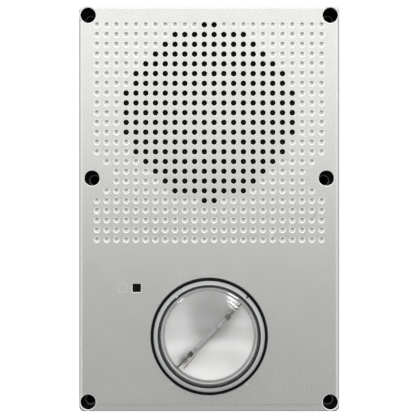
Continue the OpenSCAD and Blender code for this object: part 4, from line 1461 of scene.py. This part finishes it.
    def build_trigger(self) -> None:
        """The trigger band round the glass and its wire along it."""
        side, end, r = self.tube_r + 0.25, self.tube_half - 3.0, self.tube_r
        profile = [(r + 0.01, 5.8), (r + 0.42, 5.85), (r + 0.48, 6.1), (r + 0.42, 6.35), (r + 0.01, 6.4)]
        band = Shape(self.along_tube).turned(profile, sides=32).object("trigger_wire_piece", 45)
        spot = self.spot(self.tilt, self.tube_z)
        straight = [spot @ Vector((x, -side, 0.0)) for x in (6.2, 2.0, -3.0, -end + 1.0, -end)]
        hole = Vector(self.at(23.6, 231.6, self.tube_z - 2.5))
        start = straight[-1]
        sag = Vector((0.35, -0.25, 0.6))
        swing = [start.lerp(hole, t) + sag * math.sin(math.pi * t) for t in (0.12, 0.3, 0.5, 0.7, 0.86, 1.0)]
        wire = Shape().rod(straight + swing, self.trigger_r, 8).object("wire")
        carve(band, wire, Carve.ADD, 45)
        profile = [(0.0, -0.5), (0.3, -0.42), (0.5, -0.15), (0.5, 0.15), (0.3, 0.42), (0.0, 0.5)]
        eyelet = Shape().turned(profile, sides=12).object("bead")
        eyelet.data.transform(Matrix.Translation(world(swing[-3])))
        carve(band, eyelet, Carve.ADD, 45)
        show(band, WIRE, "housing", "trigger_wire")

    def build(self) -> None:
        """Makes the whole lamp."""
        self.build_lens()
        self.build_collar()
        self.build_bowl()
        self.build_tube()
        self.build_trigger()


# ---------------------------------------------------------------- selectors and the rear


@dataclass
class Selectors:
    """The candela window with its slider, and the two selectors at the back."""

    window: Flat = (-37.1, -40.6)
    back: float = -36.0
    tap: Flat = (31.0, -18.0)
    tap_r: float = 6.5
    volts: Flat = (18.0, -28.5)
    stem_y: float = -30.0

    def build(self) -> None:
        """Makes the pane, the slider and both selectors."""
        x, y = self.window
        pane = Shape().block((x - 3.65, x + 3.65), (y - 3.65, y + 3.65), (18.4, 19.6), 0.6, 0.12)
        show(pane.object("window_pane_piece"), PANE, "housing", "window_pane")
        self.build_slider()
        self.build_tap()
        self.build_volts()

    def build_slider(self) -> None:
        """The candela slider: strip, stem, and a knob with grip ridges."""
        x, low, back, y0 = self.window[0], self.window[1] - 3.0, self.back, self.stem_y
        strip = Shape().block((x - 3.25, x + 3.25), (low, low + 21.0), (16.8, 18.0), 0.8, 0.15)
        slider = strip.object("candela_slider_piece")
        stem = Shape().block((x - 1.5, x + 1.5), (y0 - 1.5, y0 + 1.5), (back - 1.2, 17.2), 0.3, 0.1)
        carve(slider, stem.object("stem"), Carve.ADD)
        knob = Shape().block((x - 3.8, x + 3.8), (y0 - 2.8, y0 + 2.8), (back - 3.0, back - 0.6), 1.0, 0.35)
        knob = knob.object("knob")
        # distance from the knob's middle, half width, depth
        for dy, half, deep in ((-1.6, 0.2, 2.6), (-0.8, 0.2, 2.6), (0.8, 0.2, 2.6), (1.6, 0.2, 2.6),
                               (0.0, 0.25, 2.4)):
            y = (y0 + dy - half, y0 + dy + half)
            groove = Shape().block((x - 4.2, x + 4.2), y, (back - 3.4, back - deep), 0.1, 0.05)
            carve(knob, groove.object("groove"), Carve.CUT)
        carve(slider, knob, Carve.ADD)
        show(slider, BLACK, "candela_slider", "candela_slider")

    def build_tap(self) -> None:
        """The round power selector: knurled edge, screwdriver slot and pointer notch."""
        (x, y), r, z = self.tap, self.tap_r, self.back - 3.0
        profile = eased([(0, z, 0), (r - 0.35, z, 0.3), (r - 0.3, -30.5, 0.2), (2.95, -30.45, 0),
                         (2.95, -21.0, 0.3), (0, -21.0, 0)], 3, closed=False)
        knob = Shape().turned(profile, self.tap, 64).object("tap_knob_piece")
        tooth = Shape().block((-0.35, 0.34), (-0.42, 0.42), (z + 0.35, -30.9), 0.12, 0.1).object("tooth")
        carve(knob, ringed("knurl", tooth, 30, r - 0.36, (x, y, 0), WHITE), Carve.ADD)
        slot = Shape().block((x - 5.3, x + 5.3), (y - 0.8, y + 0.8), (z - 1, z + 2.4), 0.4, 0.1)
        carve(knob, slot.object("slot"), Carve.CUT)
        pointer = Shape().block((x - 0.4, x + 0.4), (y + 3.6, y + 5.4), (z - 1, z + 0.8), 0.3, 0.1)
        carve(knob, pointer.object("pointer"), Carve.CUT)
        show(knob, WHITE, "tap_knob", "tap_knob")

    def build_volts(self) -> None:
        """The small voltage slider with its ridged tip."""
        x, y = self.volts[0] - 1.5, self.volts[1]
        tip = Shape().block((x - 1.8, x + 1.8), (y - 1.3, y + 1.3), (self.back - 1.5, -28.5), 0.35, 0.15)
        slider = tip.object("voltage_slider_piece")
        for middle in (x - 0.95, x, x + 0.95):
            groove = Shape().block((middle - 0.17, middle + 0.17), (y - 1.6, y + 1.6),
                                   (self.back - 1.9, self.back - 1.1), 0.08, 0.04)
            carve(slider, groove.object("ridge"), Carve.CUT)
        show(slider, WHITE, "voltage_slider", "voltage_slider")


@dataclass
class Rear:
    """The housing behind the cover, its screws, and the field wiring terminals."""

    half_w: float = 54.4
    half_h: float = 95.4
    back: float = -36.0
    front: float = 8.0
    wall: float = 2.0
    tower_r: float = 4.1
    screw_seat: float = -2.0
    towers: tuple[Flat, ...] = tuple((x, y) for x in (-48.6, 48.6) for y in (-89.5, -12.0, 89.5))
    terminal_y: float = -56.0
    ways: int = 6
    way_pitch: float = 7.0
    selectors: Selectors = field(default_factory=Selectors)

    @property
    def way_places(self) -> list[float]:
        """The middle of each terminal way."""
        return [(i - (self.ways - 1) / 2) * self.way_pitch for i in range(self.ways)]

    def openings(self) -> list[Shape]:
        """The tools for the terminal, slider, selector and screw openings."""
        z0, z1 = self.back - 1, self.back + self.wall + 1
        x, y = self.selectors.window[0], -37.5
        y0 = self.terminal_y
        plain = Shape().block((-22.4, 22.4), (y0 - 7.9, y0 + 7.9), (z0, z1), 0.5, 0.05)
        slot = Shape().block((x - 2.0, x + 2.0), (y - 9.5, y + 9.5), (z0, z1), 0.6, 0.05)
        vx, vy = self.selectors.volts
        volts = Shape().block((vx - 3.9, vx + 3.9), (vy - 1.9, vy + 1.9), (z0, z1), 0.4, 0.05)
        tap = Shape().pillar(7.0, (z0, z1), self.selectors.tap, 64)
        bores, mouth, bore, seat = Shape(), self.tower_r - 0.5, self.tower_r - 0.9, self.screw_seat
        for place in self.towers:
            bores.turned([(0, z0), (mouth, z0), (mouth, self.back - 0.01), (bore, self.back + 0.4),
                          (bore, seat), (1.6, seat), (1.6, 2.0), (0, 2.0)], place, 32)
        return [plain, slot, volts, tap, bores]

    def marks(self) -> Shape:
        """Raised marks on the back: a dial round the selector, ticks by the slot, ribs by the terminals."""
        z = (self.back - 0.28, self.back + 0.5)
        shape = Shape()
        x, y = self.selectors.tap
        for turn in range(0, 151, 30):
            spot = Matrix.Translation((x, y, 0)) @ Matrix.Rotation(math.radians(90 - turn), 4, "Z")
            self.bar(shape, spot, (8.2, 10.2), 0.7, z)
        wx = self.selectors.window[0]
        for step in range(4):
            self.bar(shape, Matrix.Translation((wx, -30.0 - 5.0 * step, 0)), (4.6, 6.6), 0.7, z)
        upright = Matrix.Rotation(math.radians(90), 4, "Z")
        for way in self.way_places:
            spot = Matrix.Translation((way, self.terminal_y + 10.4, 0)) @ upright
            self.bar(shape, spot, (-0.9, 0.9), 0.7, z)
        self.bar(shape, Matrix.Translation((0, self.terminal_y - 10.6, 0)), (-24.0, 24.0), 0.8, z)
        return shape

    def bar(self, shape: Shape, spot: Matrix, x: Flat, width: float, z: Flat) -> None:
        """Adds one raised bar to a shape at a place."""
        held, shape.place = shape.place, spot
        shape.block(x, (-width / 2, width / 2), z, 0.3, 0.12)
        shape.place = held

    def build_housing(self) -> None:
        """The box with eased edges, screw towers, openings and raised marks."""
        w, h, low, high = self.half_w, self.half_h, self.back, self.front
        edges = ((1.0, low), (0.5, low + 0.13), (0.13, low + 0.5), (0.0, low + 1.0), (0.0, high - 0.3),
                 (0.2, high))
        outlines = [(oblong(-w + g, w - g, -h + g, h - g, 3.0, 6), z) for g, z in edges]
        box = Shape().stacked(outlines).object("rear_housing_piece")
        wi, hi = w - self.wall, h - self.wall
        outlines = [(oblong(-wi, wi, -hi, hi, 1.5, 4), z) for z in (low + self.wall, high + 1)]
        carve(box, Shape().stacked(outlines).object("cavity"), Carve.CUT)
        towers = Shape()
        for place in self.towers:
            towers.pillar(self.tower_r, (low + 0.5, 1.0), place, 32)
        carve(box, towers.object("towers"), Carve.ADD)
        for tool in self.openings():
            carve(box, tool.object("opening"), Carve.CUT)
        carve(box, self.marks().object("marks"), Carve.ADD)
        show(box, HOUSING, "housing", "rear_housing")
        places = [(x, y, self.screw_seat) for x, y in self.towers]
        screws = copies("housing_screws_piece", Screw(1.2, 13.0, 2.6, 2.0).shape(), places, ZINC)
        show(screws, ZINC, "housing", "housing_screws")

    def build_terminals(self) -> None:
        """The terminal block with its barriers, wire entries and brass screws."""
        y0, low = self.terminal_y, self.back
        block = Shape().block((-22.0, 22.0), (y0 - 7.5, y0 + 7.5), (low, -10.6), 0.5, 0.3)
        block = block.object("terminal_block_piece")
        wells, entries, slots = Shape(), Shape(), Shape()
        screw_y, entry_y = y0 + 3.2, y0 - 3.6
        for x in self.way_places:
            wells.turned([(0, low - 1), (2.6, low - 1), (2.6, low - 0.01), (2.3, low + 0.3), (2.3, low + 8),
                          (0, low + 8)], (x, screw_y), 24)
            funnel = ((2.4, low - 1), (2.4, low), (1.95, low + 1.2), (1.95, low + 9))
            entries.stacked([(oblong(x - g, x + g, entry_y - g * 0.9, entry_y + g * 0.9, 0.3, 2), z)
                             for g, z in funnel])
        for x in self.way_places[1:]:
            slots.block((x - 3.65, x - 3.35), (y0 - 8, y0 + 8), (low - 1, low + 1.0), 0.1, 0.04)
        for tool in (wells, entries, slots):
            carve(block, tool.object("tool"), Carve.CUT)
        show(block, TERMINAL, "housing", "terminal_block")
        places = [(x, screw_y, low + 4.8) for x in self.way_places]
        screw = Screw(1.9, 3.2, 2.0, 1.8, Slot.PLAIN).shape()
        show(copies("terminal_screws_piece", screw, places, BRASS), BRASS, "housing", "terminal_screws")

    def build(self) -> None:
        """Makes the housing and the terminals."""
        self.build_housing()
        self.build_terminals()


@dataclass
class Works:
    """The pieces inside the housing, which keep their CAD shapes and get their finishes."""

    finishes: dict[str, Finish] = field(default_factory=lambda: {
        "acoustic_screen": SCREEN, "speaker_gasket": RUBBER, "speaker_basket": BASKET,
        "speaker_screws": ZINC, "cone_surround": RUBBER, "speaker_cone": PAPER, "dust_cap": PAPER,
        "voice_coil": COPPER, "spider": SPIDER, "magnet_front_plate": ZINC, "ferrite_magnet": FERRITE,
        "magnet_yoke": ZINC, "transformer_core": LAMINATION, "transformer_bobbin": IVORY,
        "transformer_winding": TAPE, "transformer_bracket": ZINC, "transformer_screws": ZINC,
        "bracket_screws": ZINC, "strobe_board": BOARD, "flash_capacitor": SLEEVE, "trigger_coil": BLACK,
        "power_inductor": COPPER, "audio_board": BOARD, "blocking_capacitor": BLUE, "board_screws": ZINC,
        "tap_switch": BLACK, "voltage_switch": ZINC, "speaker_leads": RED,
    })

    def build(self) -> None:
        """Dresses every carried piece."""
        for node, finish in self.finishes.items():
            carried(node, finish)


# ---------------------------------------------------------------- the studio


@dataclass
class Studio:
    """The pale floor, the soft lights and the camera."""

    distance: float = 0.600
    face: float = 0.022
    eye_z: float = -0.033
    frame_width: float = 0.2129
    sensor: float = 36.0
    floor_z: float = -0.150
    shift: Flat = (-0.0029, 0.0015)
    lens_front: tuple[float, float, float] = (0.0, -0.022, -0.065)
    strip_away: float = 0.5
    strip_wide: float = 0.008
    strip_watts: float = 0.08

    def build_camera(self) -> None:
        """A long lens square to the cover, a little below its middle."""
        data = bpy.data.cameras.new("camera")
        data.sensor_width = self.sensor
        data.lens = self.sensor * self.distance / self.frame_width
        data.shift_x = self.shift[0]
        data.shift_y = -self.eye_z / self.frame_width + self.shift[1]
        camera = bpy.data.objects.new("camera", data)
        camera.location = (0.0, -self.face - self.distance, self.eye_z)
        camera.rotation_euler = (math.radians(90), 0.0, 0.0)
        bpy.context.scene.collection.objects.link(camera)
        bpy.context.scene.camera = camera

    def softbox(self, name: str, place: Sequence[float], aim: Sequence[float], size: Flat,
                power: float) -> None:
        """Adds a rectangular light.

        Args:
            name: its name.
            place: where it is, in metres.
            aim: the point it faces.
            size: its width and height in metres.
            power: its power in watts.
        """
        data = bpy.data.lights.new(name, "AREA")
        data.shape, data.size, data.size_y, data.energy = "RECTANGLE", size[0], size[1], power
        light = bpy.data.objects.new(name, data)
        light.visible_glossy = False
        light.location = place
        light.rotation_euler = (Vector(aim) - Vector(place)).to_track_quat("-Z", "Y").to_euler()
        bpy.context.scene.collection.objects.link(light)

    def strip(self, name: str, place: Vector, aim: Sequence[float], length: float) -> None:
        """Adds a narrow strip light whose reflection is a streak along the lens's edge."""
        data = bpy.data.lights.new(name, "AREA")
        data.shape, data.size, data.size_y = "RECTANGLE", length, self.strip_wide
        data.energy = self.strip_watts
        light = bpy.data.objects.new(name, data)
        light.location = place
        out = place - Vector(aim)
        across = Vector((0.0, 1.0, 0.0)).cross(out).normalized()
        back = out.normalized()
        light.rotation_euler = Matrix((across, back.cross(across), back)).transposed().to_euler()
        light.light_linking.receiver_collection = self.clear_parts
        bpy.context.scene.collection.objects.link(light)

    def build_world(self) -> None:
        """A white surround that lights the object less from the front and from below."""
        made = bpy.data.worlds.new("studio")
        made.use_nodes = True
        bpy.context.scene.world = made
        sheet = Sheet(made.node_tree)
        direction = sheet.node("ShaderNodeTexCoord", output="Generated")
        x, y, z = sheet.axes(direction)
        ahead = (y * -1.0).step(0.0, 0.3)
        patch = ((x + 0.03) / 0.56).away_from((z + 0.43) / 0.50).step(0.85, 1.2)
        sky = z.step(0.07, 0.19) * 0.62 - z.step(0.22, 0.42) * 0.48 + z.step(0.5, 0.9) * 0.40
        front = sky + patch * 0.42 + (z * -1.0).step(0.0, 0.15) * 0.03 + 0.375
        back = z.step(0.2, 0.8) * 0.75 + z.step(-0.9, -0.3) * 0.3 + 0.15
        strength = ahead * front + (1 - ahead) * back
        lit = sheet.node("ShaderNodeBackground", inputs={0: WHITE_LIGHT, 1: strength})
        seen = sheet.node("ShaderNodeBackground", inputs={0: WHITE_LIGHT, 1: 1.05})
        ray = sheet.node("ShaderNodeLightPath", output="Is Camera Ray")
        both = sheet.node("ShaderNodeMixShader", inputs={0: ray, 1: lit, 2: seen})
        sheet.node("ShaderNodeOutputWorld", inputs={0: both})

    def build_floor(self) -> None:
        """A wide pale floor that fades into the white surround."""
        bm = bmesh.new()
        bmesh.ops.create_grid(bm, x_segments=8, y_segments=8, size=6.0)
        mesh = bpy.data.meshes.new("floor")
        bm.to_mesh(mesh)
        bm.free()
        floor = bpy.data.objects.new("floor", mesh)
        floor.location = (0.0, 0.0, self.floor_z)
        bpy.context.scene.collection.objects.link(floor)
        sheet = ShaderSheet("floor")
        pale = sheet.blend(sheet.noise(400.0), (0.93, 0.93, 0.93), (0.90, 0.90, 0.90))
        matt = sheet.node("ShaderNodeBsdfDiffuse", inputs={0: pale})
        glow = sheet.node("ShaderNodeEmission", inputs={0: WHITE_LIGHT, 1: 1.1})
        both = sheet.node("ShaderNodeMixShader", inputs={0: 0.8, 1: matt, 2: glow})
        mesh.materials.append(sheet.close(both))
        floor.visible_diffuse = False
        floor.visible_glossy = False

    def build(self) -> None:
        """Sets up floor, lights and camera."""
        bpy.context.scene.view_settings.view_transform = "Standard"
        self.build_world()
        self.build_floor()
        self.softbox("top_box", (0.0, -0.28, 0.52), (0.0, 0.0, 0.06), (0.50, 0.30), 2.4)
        self.clear_parts = bpy.data.collections.new("clear_parts")
        lit = ("strobe_lens", "flash_tube", "tube_electrodes", "tube_leads", "trigger_wire", "strobe_bracket")
        for piece in lit:
            self.clear_parts.objects.link(bpy.data.objects[piece + "_piece"])
        lens = Vector(self.lens_front)
        for off_axis, turn, length in ((47.7, 58, 0.10), (43.9, 53, 0.12), (40.4, 49, 0.10),
                                       (51.0, 130, 0.06)):
            out, round_it = math.radians(off_axis), math.radians(turn)
            wide = math.sin(out)
            way = Vector((wide * math.cos(round_it), -math.cos(out), wide * math.sin(round_it)))
            self.strip(f"strip_{turn}", lens + way * self.strip_away, lens, length)
        self.build_camera()


def main() -> None:
    logging.basicConfig(level=logging.INFO, format="%(name)s %(message)s")
    for part in (Cover(), Strobe(), Selectors(), Rear(), Works(), Studio()):
        LOG.info("building %s", type(part).__name__)
        part.build()


if __name__ == "__main__":
    main()
